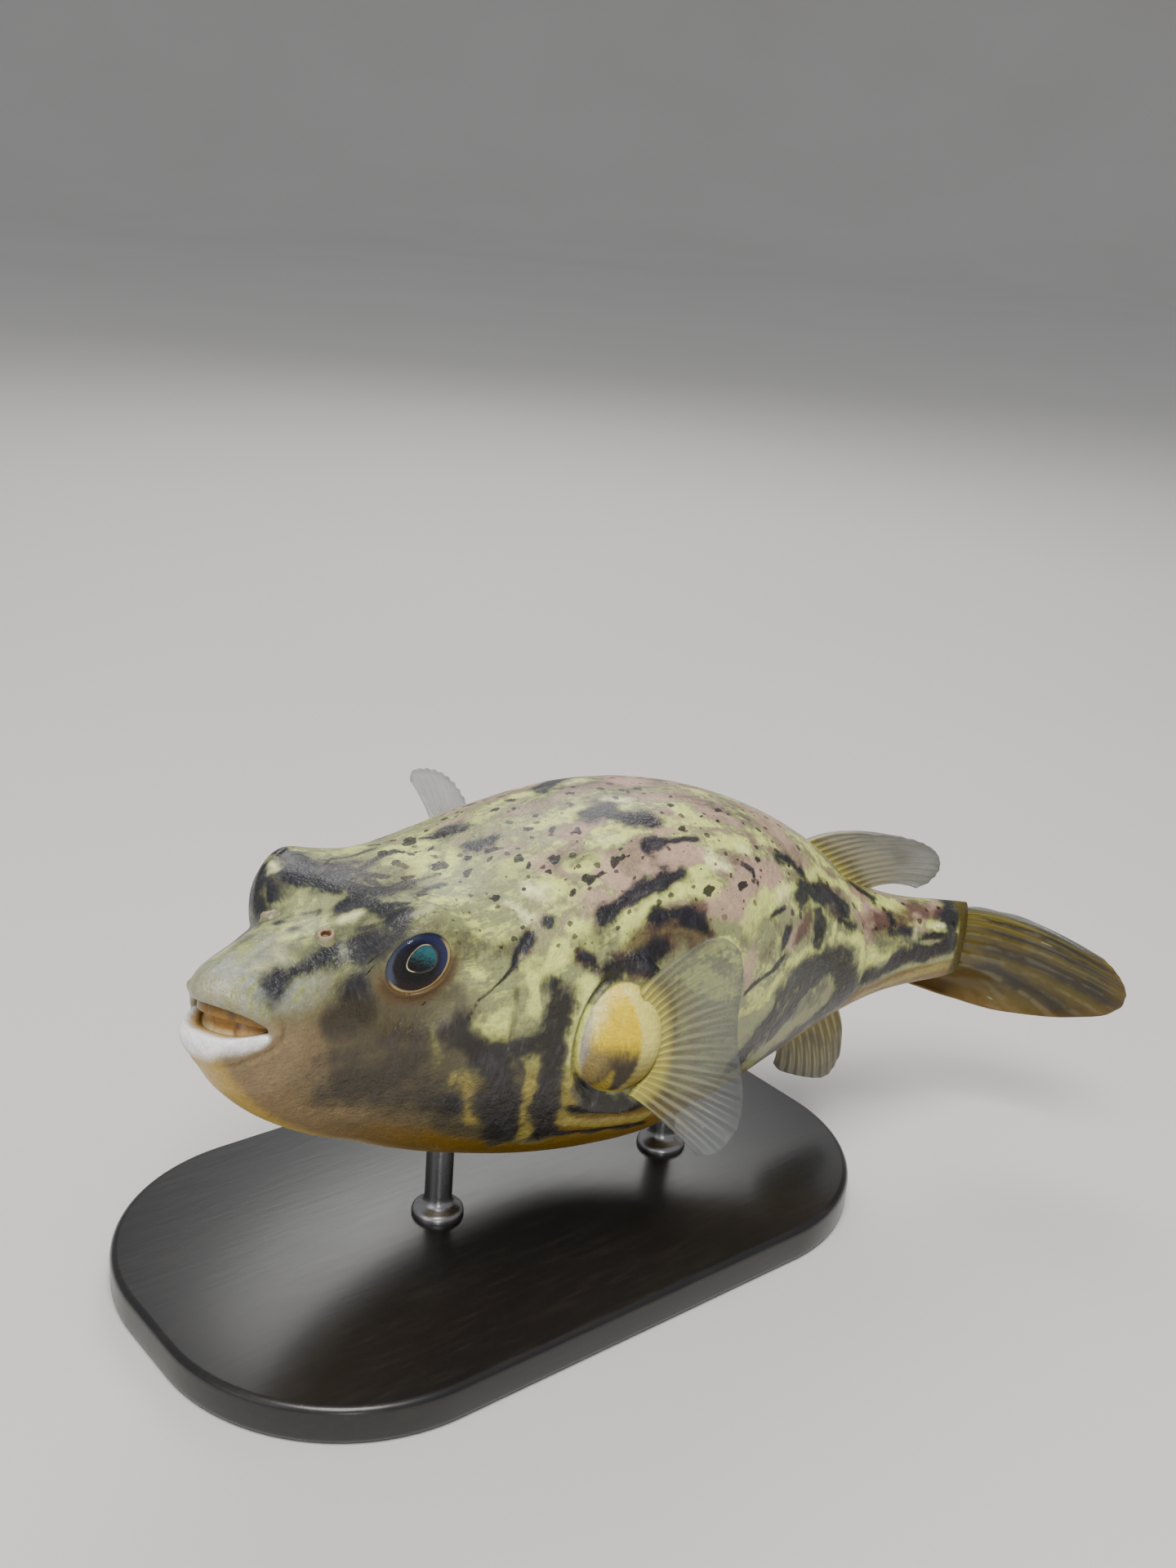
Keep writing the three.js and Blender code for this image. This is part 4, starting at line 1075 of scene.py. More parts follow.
class PUFFER_OT_skin(bpy.types.Operator):
    """Makes the one skin of head, trunk, tail root, lips and fin lobes"""

    bl_idname = "puffer.skin"
    bl_label = "Skin"

    def execute(self, context):
        settings = context.scene.puffer_skin
        rings = ring_levels(settings.along)
        angles = even_angles(rings, settings.around)
        bed = body_point(rings[:, None], angles)
        ring_column = np.repeat(rings[:, None, None], settings.around + 1, 1)
        lattice = np.concatenate([bed, ring_column, angles[..., None]], 2)
        patches = [eye_patch(1), eye_patch(-1), lobe_patch(1), lobe_patch(-1)]
        piece, column, row = new_grid("skin", settings.around, settings.along)
        set_points(piece, place(bed[row, column]) * MM)
        give(piece, "bed", bed[row, column])
        give(piece, "seat", np.stack([lattice[row, column, 3], lattice[row, column, 4], 0 * row], 1))
        parts = [piece]
        kept = np.ones((settings.along, settings.around), bool)
        for number, patch in enumerate(patches):
            flat, height = patch.flat(bed)
            inside = (np.linalg.norm(flat, axis=-1) < PATCH_REACH) & (height > -9)
            open_here = ~(inside[:-1, :-1] | inside[1:, :-1] | inside[:-1, 1:] | inside[1:, 1:])
            loop = hole_loop(open_here)
            kept &= open_here
            parts.append(self.ring_patch(f"patch_{number}", patch, lattice, loop, number < 2))
        self.open_holes(piece, kept, column, row)
        only(piece)
        for part in parts[1:]:
            part.select_set(True)
        bpy.ops.object.join()
        weld(piece)
        self.close_ends(piece)
        point_outwards(piece)
        self.press_folds(piece)
        self.mark(piece)
        flesh = ["head", "trunk", "tail_stalk", "upper_lip", "lower_lip"]
        flesh += ["left_pectoral_base", "right_pectoral_base"]
        finish_piece(piece, skin_finish(settings), flesh)
        return {"FINISHED"}

    def open_holes(self, piece, kept, column, row):
        """Deletes the lattice's faces where the patches go."""
        corner_row = np.empty(len(piece.data.loops), np.int32)
        piece.data.loops.foreach_get("vertex_index", corner_row)
        corners = corner_row.reshape(-1, 4)
        face_row = row[corners].min(1)
        face_column = column[corners].min(1)
        gone = ~kept[face_row, face_column]
        only(piece)
        bpy.ops.object.mode_set(mode="EDIT")
        bpy.ops.mesh.select_mode(type="FACE")
        bpy.ops.mesh.select_all(action="DESELECT")
        bpy.ops.object.mode_set(mode="OBJECT")
        piece.data.polygons.foreach_set("select", gone)
        bpy.ops.object.mode_set(mode="EDIT")
        bpy.ops.mesh.delete(type="FACE")
        bpy.ops.mesh.select_mode(type="VERT")
        bpy.ops.object.mode_set(mode="OBJECT")

    def ring_patch(self, name, patch, lattice, loop, is_eye):
        """A grid bent into rings that fills a hole of the lattice."""
        edge = lattice[loop[:, 0], loop[:, 1]]
        flat, _ = patch.flat(edge[:, :3])
        reach = np.linalg.norm(flat, axis=1)
        turn = np.unwrap(np.arctan2(flat[:, 1], flat[:, 0]))
        way = math.copysign(2 * math.pi, turn[-1] - turn[0])
        count = len(loop)
        even = way * np.arange(count) / count
        even = even + (turn - even).mean()
        rows = eye_rows() if is_eye else lobe_rows()
        blend_rows = 6
        grid = [edge]
        shapes = [edge[:, :3]]
        i = loop[:, 0].astype(float)
        j = loop[:, 1].astype(float)
        for number, (share, lift, depth) in enumerate(rows):
            calm = ramp(number + 1, 0, blend_rows)
            radius = mix(reach * share / PATCH_REACH, share, calm)
            angle = mix(turn, even, calm)
            wanted = np.stack([np.cos(angle), np.sin(angle)], 1) * radius[:, None]
            if depth is None:
                i, j = find_on_lattice(patch, lattice, i, j, wanted)
                point = sample(lattice, i, j)
                shape = point[:, :3] + patch.out * lift
                if not is_eye:
                    on, height = patch.flat(point[:, :3])
                    new = lobe_height(on * self.rearward(patch), height)
                    shape = point[:, :3] + patch.out * (new - height)[:, None]
                last = point
            else:
                flat_way = patch.ahead * wanted[:, :1] + patch.up * wanted[:, 1:]
                shape = patch.centre + flat_way * EYE["opening"] + patch.out * depth
                point = last.copy()
            grid.append(point)
            shapes.append(shape)
        piece, column, row = new_grid(name, count, len(rows))
        grid = np.array(grid)
        shapes = np.array(shapes)
        around = column % count
        set_points(piece, place(shapes[row, around]) * MM)
        give(piece, "bed", grid[row, around, :3])
        hidden = np.array([0] + [0 if depth is None else 1 for _, _, depth in rows])
        give(piece, "seat", np.stack([grid[row, around, 3], grid[row, around, 4], hidden[row]], 1))
        weld(piece)
        return piece

    def rearward(self, patch):
        """+1 or -1 so that the patch's first direction counts towards the tail."""
        return np.array([1.0 if patch.ahead[0] > 0 else -1.0, 1.0])

    def close_ends(self, piece):
        """Fills the back of the mouth and the end of the tail root."""
        with editing(piece):
            bpy.ops.mesh.select_mode(type="FACE")
            bpy.ops.mesh.fill_holes(sides=0)
            bpy.ops.mesh.select_mode(type="VERT")

    def press_folds(self, piece):
        """Moves the skin along its normals by its folds, the tail crease and the gill slits."""
        points = get_points(piece)
        bed = place(take(piece, "bed"))
        normals = np.empty(len(points) * 3, np.float32)
        piece.data.vertex_normals.foreach_get("vector", normals)
        height = fold_field(bed)
        height += self.tail_crease(take(piece, "seat"))
        height += self.gill_slit(take(piece, "bed"))
        set_points(piece, points + normals.reshape(-1, 3) * (height * MM)[:, None])

    def tail_crease(self, seat):
        """The trunk's bulge over the tail root, deepest high on the left side."""
        ring = seat[:, 0]
        turn = np.degrees(seat[:, 1])
        line = 124.5 - 5.5 * np.sin(np.radians(turn)) ** 2
        side = np.cos(np.radians(turn))
        weight = 0.45 + 0.55 * ramp(side, -0.2, 0.6)
        weight = weight * ramp(np.sin(np.radians(turn)), -0.9, -0.3)
        bulge = 0.9 * ramp(ring, line - 12, line - 2.5) * (1 - ramp(ring, line - 1.2, line + 0.8))
        dent = -0.5 * bell(ring, line + 0.6, 1.4)
        return (bulge + dent) * weight

    def on_lobe(self, bed, mirror):
        """Where points lie on a pectoral lobe, tailward and up, and how far out, 1 at its edge."""
        patch = lobe_patch(mirror)
        flat = patch.flat(bed)[0] * self.rearward(patch)
        return flat, np.linalg.norm(flat, axis=1)

    def gill_slit(self, bed):
        """A crescent pressed in before each pectoral lobe, with a raised flap ahead of it."""
        height = np.zeros(len(bed))
        for mirror in (1, -1):
            flat, reach = self.on_lobe(bed, mirror)
            front = ramp(-flat[:, 0] / np.maximum(reach, 0.2), 0.1, 0.7)
            here = front * (bed[:, 1] * mirror > 0)
            height += here * (0.5 * bell(reach, 1.36, 0.13) - 1.1 * bell(reach, 1.16, 0.06))
        return height

    def mark(self, piece):
        """Stores what the skin's colours follow."""
        bed = take(piece, "bed")
        seat = take(piece, "seat")
        world = place(bed)
        fields = [mark_field(world, marks) for marks in (DARK_MARKS, RUST_MARKS, LEMON_MARKS)]
        give(piece, "marks", np.stack(fields, 1))
        # The painted highlights go in the first part of glints.
        pale = mark_field(world, PAINTED_HIGHLIGHT_MARKS)
        give(piece, "glints", np.stack([pale, spot_field(world), mark_field(world, DUSK_MARKS)], 1))
        give(piece, "blush", np.stack([mark_field(world, SALMON_MARKS), 0 * pale, 0 * pale], 1))
        level = np.sin(seat[:, 1])
        give(piece, "ways", np.stack([seat[:, 0], level, np.cos(seat[:, 1])], 1))
        eye = np.full(len(bed), 9.0)
        eye_turn = np.zeros(len(bed))
        lobe = np.full((len(bed), 3), 9.0)
        for mirror in (1, -1):
            patch = eye_patch(mirror)
            flat, _ = patch.flat(bed)
            reach = np.linalg.norm(flat, axis=1)
            here = (reach < 3) & (bed[:, 1] * mirror > 0)
            eye[here] = reach[here]
            away = bed[here] - patch.centre
            above = away[:, 2] - 0.35 * away[:, 0]
            eye_turn[here] = above / np.maximum(np.linalg.norm(away, axis=1), 0.1)
            flat, reach = self.on_lobe(bed, mirror)
            here = (reach < 2) & (bed[:, 1] * mirror > 0)
            lobe[here] = np.stack([reach, flat[:, 0], flat[:, 1]], 1)[here]
        slit = -np.minimum(self.gill_slit(bed), 0)
        give(piece, "eye_ring", np.stack([eye, eye_turn, slit], 1))
        give(piece, "lobe", lobe)
        row = read_table(SECTIONS, seat[:, 0])
        girth = (row[:, 6] + 0.5 * (row[:, 3] - row[:, 5])) * 0.5
        arc = (seat[:, 1] - math.pi / 2) * girth
        give(piece, "flow", np.stack([seat[:, 0], arc, 0 * arc], 1) * MM)


def lobe_pad(f, settings, lumps, back, up):
    """Colours of a pectoral lobe: golden, brown below, with a pale top that is partly a painted highlight,
    a silver front and a beaded rear rim.
    """
    grained = (f.cloud(f.stretch(f.place(), (2.2, 2.2, 0.5)), 0.9, 3) - 0.5) * 0.3
    # The pad's own cream top, with a painted highlight on its upper front where the light falls.
    pale_top = f.step(up * 0.7 + back * -1.5 + grained, 0.95, 1.75)
    pad = f.blend(settings.pad, settings.cream, pale_top * 0.95)
    low_half = f.step(up + back * 0.12 + grained * 0.5 + (lumps - 0.5) * 0.1, 0.05, -0.35)
    pad = f.blend(pad, settings.pad_shade, low_half * 0.9)
    brown = f.step(up + grained * 0.5, 0.22, -0.42) * f.step(back + grained * 0.4, -0.7, -0.28)
    pad = f.blend(pad, settings.bark, brown * 0.95)
    wedge = (back + 0.32).size() + (up + 0.5) * 0.26 + grained * 0.08
    wedge = f.step(wedge, 0.1, -0.02) * f.step(up, -0.38, -0.54)
    pad = f.blend(pad, settings.pad_wedge, wedge * 0.9)
    pad = f.blend(pad, settings.silver, f.step(back + grained * 0.3, -0.76, -0.94) * 0.8)
    beads = (up * 50.0).wave()
    rim = f.step(back + (up + 0.1) ** 2 * 0.35 + beads * 0.012, 0.12, 0.26)
    rim_colour = f.blend(settings.rim, settings.rim_shade, f.step(up, 0.2, -0.6) * 0.9)
    pad = f.blend(pad, rim_colour, rim * (0.86 + beads * 0.1))
    foot = f.step(up, -0.88, -0.97) * f.step(back.size(), 0.5, 0.2)
    return f.blend(pad, settings.pad_foot, foot * 0.8)


def skin_finish(settings):
    """Skin colours, gloss and pores."""
    f = Finish("puffer_skin")
    at = f.place()
    flow = f.vector("flow")
    ring, level, across = f.parts("ways")
    dark, rust, lemon = f.parts("marks")
    pale, spots, haze = f.parts("glints")
    salmon = f.parts("blush")[0]
    eye, eye_turn, slit = f.parts("eye_ring")
    lobe, lobe_back, lobe_up = f.parts("lobe")
    broad = f.cloud(at, 15, 2)
    lumps = f.cloud(at, 6.5, 3, 0.6, 3.1)
    blots = f.cloud(at, 2.8, 3, 0.6, 7.7)
    fine = f.cloud(at, 1.0, 3, 0.6, 1.3)
    grain = f.cloud(at, 0.35, 2, 0.5, 5.2)
    slant = f.stretch(flow, (0.45, 1, 1), (0, 0, math.radians(-24)))
    streak = f.cloud(slant, 2.4, 3, 0.6, 2.0)
    brushed = f.cloud(f.stretch(flow, (0.3, 1, 1)), 1.1, 3, 0.6, 4.0)
    hatch = f.cloud(f.stretch(flow, (1, 0.25, 1)), 0.8, 3, 0.6, 6.0)
    lying = f.step(level, 0.35, 0.7)
    stroke = f.cross(hatch, brushed, lying) - 0.5
    ragged = (lumps - 0.5) * 0.24 + (blots - 0.5) * (0.14 + f.step(ring, 8, 26) * 0.22)
    rough_edge = (fine - 0.5) * 0.24 + stroke * 0.24
    ragged = ragged + rough_edge * (0.35 + f.step(ring + level * 14, 26, 44) * 0.65)

    # Ground of the trunk: salmon and mauve above, straw on the flank, with lemon splotches.
    blush = f.blend(settings.mauve, settings.salmon, f.step(broad * 0.35 + lumps * 0.65, 0.35, 0.7))
    flank = f.blend(settings.straw, settings.mauve, f.step(streak * 0.7 + blots * 0.4, 0.5, 0.8) * 0.5)
    body = f.blend(flank, blush, f.step(level + (lumps - 0.5) * 0.4, 0.3, 0.75))
    isles = f.cloud(slant, 4.4, 3, 0.6, 21.0) * 0.62 + fine * 0.2 + lumps * 0.18
    body = f.blend(body, settings.straw, f.step(isles, 0.42, 0.54) * 0.85)
    body = f.blend(body, settings.lemon, f.step(isles, 0.52, 0.7) * f.step(level, -0.5, 0.1) * 0.85)
    dusk = f.step(f.cloud(slant, 5.2, 3, 0.6, 15.0) * 0.62 + stroke * 0.3 + fine * 0.12, 0.46, 0.68)
    body = f.blend(body, settings.dusk, dusk * 0.66)

    # The head: straw above, brown cheeks, beige chin.
    splotch = f.step(blots * 0.5 + brushed * 0.5, 0.45, 0.75)
    crown = f.blend(settings.straw, settings.lemon, splotch * 0.85)
    crown = f.blend(crown, settings.dusk, f.step(brushed * 0.55 + lumps * 0.45, 0.54, 0.78) * 0.7)
    cheek_line = f.step(ring, 25, 35) * 0.42
    low = f.step(level + cheek_line + (lumps - 0.5) * 0.35 + (blots - 0.5) * 0.15, 0.42, -0.06)
    olive = f.step(level + cheek_line * 1.6 + (lumps - 0.5) * 0.3, 0.84, 0.36)
    face = f.blend(crown, settings.olive, olive * 0.85)
    face = f.blend(face, settings.cheek, low * 0.9)
    mottle = f.step(lumps * 0.6 + blots * 0.5, 0.5, 0.8)
    face = f.blend(face, settings.umber, mottle * low * 0.4)
    pale_cheek = f.step(lumps * 0.5 + broad * 0.5 + fine * 0.1, 0.45, 0.2)
    face = f.blend(face, settings.chin, pale_cheek * low * 0.55)
    front = f.step(ring + (blots - 0.5) * 5, 17, 5)
    nose = f.blend(settings.snout, settings.straw, f.step(brushed, 0.35, 0.8))
    face = f.blend(face, nose, front * f.step(level, 0.25, 0.75) * 0.85)
    chin = f.step(level + (ring - 12) * 0.014 + (lumps - 0.5) * 0.25, -0.3, -0.8)
    face = f.blend(face, settings.chin, (chin * 0.9).most(front * low * 0.75))
    trunk = f.step(ring + (lumps - 0.5) * 16 + level * -5, 36, 56)
    ground = f.blend(face, body, trunk)

    # Belly: a golden edge over a cream-yellow underside, with painted shade on the lower side: darker gold,
    # and a darker lower flank before and under the pectoral fins.
    edge = f.step(level + (lumps - 0.5) * 0.08 - f.step(ring, 98, 147) * 0.38, -0.68, -0.8)
    ground = f.blend(ground, settings.gold, edge * f.step(ring, 14, 40))
    ground = f.blend(ground, settings.belly, f.step(level, -0.9, -0.985))
    # Painted shade: a band of the lower flank between the head and the pectoral fins is darkened to cheek
    # brown.
    lower_side_shade = f.step(level + (lumps - 0.5) * 0.25, -0.02, -0.3)
    lower_side_shade = lower_side_shade * f.step(ring, 30, 38) * f.step(ring, 62, 54)
    ground = f.blend(ground, settings.cheek, lower_side_shade * f.step(level, -0.78, -0.66) * 0.85)
    # Painted shade: darker gold on the lower side under and behind the pectoral fins.
    shade_under_fin = f.step(level, -0.48, -0.58) * f.step(ring, 52, 58) * f.step(ring, 104, 84)
    ground = f.blend(ground, settings.gold, shade_under_fin * 0.9)

    # Markings, painted highlights and the painted shadow under each pectoral lobe, with ragged and brushed
    # edges.
    ground = f.blend(ground, settings.salmon, f.step(salmon + ragged * 0.7, 0.2, 0.75) * 0.85)
    yellow = f.blend(settings.lemon, settings.ochre, f.step(level + (fine - 0.5) * 0.2, 0.05, -0.4))
    ground = f.blend(ground, yellow, f.step(lemon + ragged * 0.7, 0.26, 0.7) * 0.95)
    soot = f.step(haze + ragged * 0.9, 0.2, 0.8)
    ground = f.blend(ground, settings.dusk, soot * (0.62 + stroke * 0.4))
    ground = f.blend(ground, settings.rust, f.step(rust + ragged * 0.8, 0.18, 0.75) * 0.85)
    black = f.blend(settings.umber, settings.slate, f.step(level + (lumps - 0.5) * 0.6, -0.2, 0.55))
    greyer = f.step(lumps * 0.4 + blots * 0.35 + stroke * 0.5 + 0.25, 0.55, 0.95)
    black = f.blend(black, settings.haze, greyer * 0.45)
    scuffed = f.step(stroke + (fine - 0.5) * 0.4, 0.2, 0.55)
    cover = f.step(dark + ragged * 0.75, 0.18, 0.68) * (0.97 - scuffed * 0.2)
    black = f.blend(black, settings.cheek, f.step(ring, 34, 26) * f.step(level, 0.5, 0.2) * 0.45)
    ground = f.blend(ground, black, cover)
    # Painted highlights: the glow patches stand for the wet skin's reflections of the lamps.
    ground = f.blend(ground, settings.glow, f.step(pale + ragged * 0.7, 0.2, 1.0) * 0.9)
    ground = f.blend(ground, settings.stub, f.step(ring + (lumps - 0.5), 146.2, 147.4))

    # Small dark spots and specks over the back.
    cell = f.cells(flow, 2.6, flat=True)
    chance = f.node("ShaderNodeSeparateXYZ", inputs={0: f.cells(flow, 2.6, "Color", True)})
    speck = f.step(chance**3 * 0.24 + (fine - 0.5) * 0.2 + (grain - 0.5) * 0.06 - cell, -0.02, 0.02)
    upper = f.step(level + (lumps - 0.5) * 0.3, 0.2, 0.5) * f.step(ring, 24, 34)
    dots = (speck * upper * 0.85).most(f.step(spots + ragged * 0.5, 0.4, 0.54))
    ground = f.blend(ground, settings.spot, dots * 0.93)

    # Eye ring, gill slit, lips and the lobes of the pectoral fins.
    socket_ring = f.step(eye + (blots - 0.5) * 0.2, 1.62, 1.2)
    lower = f.step(eye_turn, 0.55, -0.4)
    # Painted shade: dusk on the upper, snoutward part of each eye socket, under the brow; the golden-brown
    # lid below is the skin's own colour.
    ground = f.blend(ground, settings.dusk, socket_ring * (1.0 - lower) * 0.45)
    ground = f.blend(ground, settings.lid, socket_ring * lower * 0.85)
    # Painted shade in the pressed-in gill slits, stronger where they lie higher on the side.
    slit_depth = 0.55 + f.step(level, -0.25, 0.0) * 0.35
    ground = f.blend(ground, settings.slit, f.step(slit, 0.35, 0.95) * slit_depth)
    aside = f.step(across.size(), 0.35, 0.95)
    under = f.step(level + (blots - 0.5) * 0.1, 0.1, -0.2)
    lip = f.step(ring + (blots - 0.5) * 1.2 + aside * 1.6, 3.4, 0.9)
    ground = f.blend(ground, settings.lip, lip * (1.0 - under) * 0.6)
    white = f.step(ring + (blots - 0.5) * 0.4 + f.step(across.size(), 0.08, 0.5), 1.7, 0.1)
    ground = f.blend(ground, settings.white_lip, white * under * 0.98)
    ground = f.blend(ground, settings.tongue, f.step(ring, -1.7, -3.0) * under * 0.9)
    lining = f.step(ring + (1.0 - under) * 1.4, -2.6, -4.0)
    ground = f.blend(ground, settings.gum, lining)
    # Painted shade deep in the mouth, where little light reaches.
    ground = f.blend(ground, settings.mouth_shade, f.step(ring, -4.4, -7.4))
    pad = lobe_pad(f, settings, lumps, lobe_back, lobe_up)
    ground = f.blend(ground, pad, f.step(lobe, 1.04, 0.98))

    brightness = (grain - 0.5) * 0.18 + (fine - 0.5) * 0.24 + (broad - 0.5) * 0.12 + 0.94
    ground = f.shade(ground, brightness)
    pores = f.cells(at, 0.8)
    relief = f.bump(fine * 0.5 + grain * 0.2 + blots * 0.6, 0.2)
    relief = f.bump(f.step(pores, 0.0, 0.45), 0.03, relief)
    f.set(Base_Color=ground, Roughness=0.4 + (fine - 0.5) * 0.12 - lip * 0.08, Normal=relief)
    f.set(Specular_IOR_Level=0.4, Coat_Weight=0.16, Coat_Roughness=0.2)
    f.set(Subsurface_Weight=0.08, Subsurface_Scale=0.001, Subsurface_Radius=(1.0, 0.55, 0.3))
    return f.material


# ---- Eyes ----
class PUFFER_OT_eyes(bpy.types.Operator):
    """Makes both eyeballs with a nearly flat iris, each under a clear dome"""

    bl_idname = "puffer.eyes"
    bl_label = "Eyes"

    def execute(self, context):
        settings = context.scene.puffer_eye
        iris = iris_finish(settings)
        clear = cornea_finish(settings)
        for side, mirror in (("left", 1), ("right", -1)):
            ball = self.ball(side + "_eyeball", settings, mirror)
            finish_piece(ball, iris, [side + "_eye"])
            dome = self.dome(side + "_cornea", settings, mirror)
            finish_piece(dome, clear)
        return {"FINISHED"}

    def ball(self, name, settings, mirror):
        bpy.ops.object.select_all(action="DESELECT")
        bpy.ops.mesh.primitive_uv_sphere_add(segments=96, ring_count=90, radius=settings.ball)
        piece = bpy.context.object
        piece.name = name
        points = get_points(piece) / MM
        reach = np.hypot(points[:, 0], points[:, 1])
        ball = settings.ball / MM
        opening = EYE["opening"]
        # The front is drawn into a flat oval and its rings are spread evenly over it.
        turn = np.arctan2(reach, points[:, 2])
        rim_turn = math.asin(opening / ball)
        front = turn < rim_turn
        share = turn / rim_turn
        oval = self.oval(points)
        behind = mix(oval, reach, ramp(turn, rim_turn, rim_turn + 0.5))
        new_reach = np.where(front, oval * share, behind)
        flat = math.sqrt(ball**2 - opening**2) - 0.12 + 0.3 * (1 - share**2)
        points[:, :2] *= (new_reach / np.maximum(reach, 1e-6))[:, None]
        pupil = self.pupil(points[:, 0], points[:, 1])
        dent = ramp(pupil, settings.pupil / MM - 0.2, settings.pupil / MM + 0.1)
        flat = flat - 0.3 * (1 - dent)
        points[:, 2] = np.where(front, flat, points[:, 2])
        give(piece, "iris", self.iris(points, np.where(front, share, 5)))
        give(piece, "pupil", np.stack([np.where(front, pupil, 9), 0 * reach, 0 * reach], 1))
        self.seat(piece, points, mirror)
        return piece

    def dome(self, name, settings, mirror):
        """A closed lens from just inside the lid, over the iris."""
        rim = EYE["opening"] + 0.25
        level = math.sqrt((settings.ball / MM) ** 2 - rim**2)
        shares = np.linspace(0, 1, 26)
        outline = [Vector((0, 0, level - 0.1))]
        outline += [Vector((rim * share, 0, level - 0.1)) for share in (0.34, 0.67, 1.0)]
        for share in shares[::-1]:
            rise = level + 0.04 + 1.35 * math.sqrt(1 - 0.93 * share**2) - 0.36
            outline.append(Vector((rim * share, 0, rise)))
        piece = spin_outline(name, [point * MM for point in outline], 72)
        points = get_points(piece) / MM
        points[:, :2] *= (self.oval(points) / rim)[:, None]
        self.seat(piece, points, mirror)
        return piece

    def oval(self, points):
        """Reach of the tilted oval of the iris in each point's direction."""
        turn = np.arctan2(points[:, 1], points[:, 0]) - math.radians(EYE["tilt"])
        long_way = EYE["long"] + 0.25
        high_way = EYE["high"] + 0.25
        return 1 / np.hypot(np.cos(turn) / long_way, np.sin(turn) / high_way)

    def seat(self, piece, points, mirror):
        """Moves points from the eye's own directions to its place in the head."""
        across, up, axis = eye_directions(mirror)
        depth = math.sqrt(EYE["ball"] ** 2 - EYE["opening"] ** 2)
        body = eye_opening(mirror) + axis * (points[:, 2:] - depth)
        body = body + across * points[:, :1] + up * points[:, 1:2]
        set_points(piece, place(body) * MM)
        point_outwards(piece)

    def pupil(self, across, high):
        """Distance from the pupil's middle, measured so that its outline is a tilted drop."""
        tilt = math.radians(30)
        across = across - 0.45
        high = high - 0.5
        along = across * math.cos(tilt) + high * math.sin(tilt)
        beside = high * math.cos(tilt) - across * math.sin(tilt)
        return np.hypot(along / 1.22, beside / (0.98 + 0.1 * np.clip(along, -2.6, 2.6)))

    def iris(self, points, share):
        """Tailward, up and the distance from the middle, oval near the rim."""
        reach = np.hypot(points[:, 0], points[:, 1])
        oval = share * EYE["opening"]
        reach = mix(reach, oval, ramp(share, 0.3, 1))
        return np.stack([points[:, 0], points[:, 1], reach], 1)


def iris_finish(settings):
    """Dark iris with a blue upper rim and a blue-grey snoutward edge, both partly painted reflection, thin
    gold rings and a deep pupil with a painted teal sheen.
    """
    f = Finish("puffer_iris")
    at = f.place()
    across, high, reach = f.parts("iris")
    wobble = (f.cloud(at, 1.1, 2) - 0.5) * 0.1
    radius = settings.pupil / MM
    shaped = f.parts("pupil")[0] + wobble * 0.4
    pupil = f.step(shaped, radius + 0.03, radius - 0.06)
    streaks = f.cloud(at, 0.4, 2)
    iris = f.blend(settings.night, settings.fleck, f.step(streaks, 0.4, 0.8) * 0.6)
    # The iris rim: umber below and navy above; the navy is partly a painted reflection of the light above.
    rim = f.step(reach + wobble, 2.5, 3.8)
    above = f.step(high + across * 0.45 + wobble, -1.4, 2.0)
    iris = f.blend(iris, f.blend(settings.umber, settings.navy, above), rim * 0.9)
    # Painted reflection on the snoutward upper edge of the iris, over its own blue-grey edge.
    limbus = f.step(reach + wobble, 3.3, 3.7) * f.step(across * -1.0 + high * 0.4, 1.0, 3.0)
    iris = f.blend(iris, settings.limbus, limbus * 0.9)
    ring = f.step((shaped - radius - 0.08 + wobble * 0.5).size(), 0.11, 0.04)
    ring = ring * (0.06 + 0.94 * f.step(across * -1.0 + high * 0.5, -0.6, 0.7))
    iris = f.blend(iris, settings.ring_gold, ring)
    # Painted reflection: a teal sheen on the upper part of the pupil.
    lit = f.step(high * 0.8 + across * 0.25 + wobble * 6 + (streaks - 0.5) * 1.2, -0.4, 2.1)
    deep = f.blend(settings.deep, settings.sheen, lit * 0.95)
    look = f.blend(iris, deep, pupil)
    outer = f.step(reach + wobble * 0.5, 3.86, 4.0) * f.step(high - across * 0.9, 1.6, -1.0)
    look = f.blend(look, settings.rim_gold, outer)
    f.set(Base_Color=look, Roughness=0.5, Coat_Weight=0.0, Specular_IOR_Level=0.15)
    return f.material


def cornea_finish(settings):
    """Clear and wet: it shows what is under it and mirrors the lamps."""
    f = Finish("puffer_cornea")
    f.set(Base_Color=settings.tear, Roughness=0.03, Alpha=0.1, Specular_IOR_Level=1.0)
    f.set(Coat_Weight=1.0, Coat_Roughness=0.02)
    return f.material


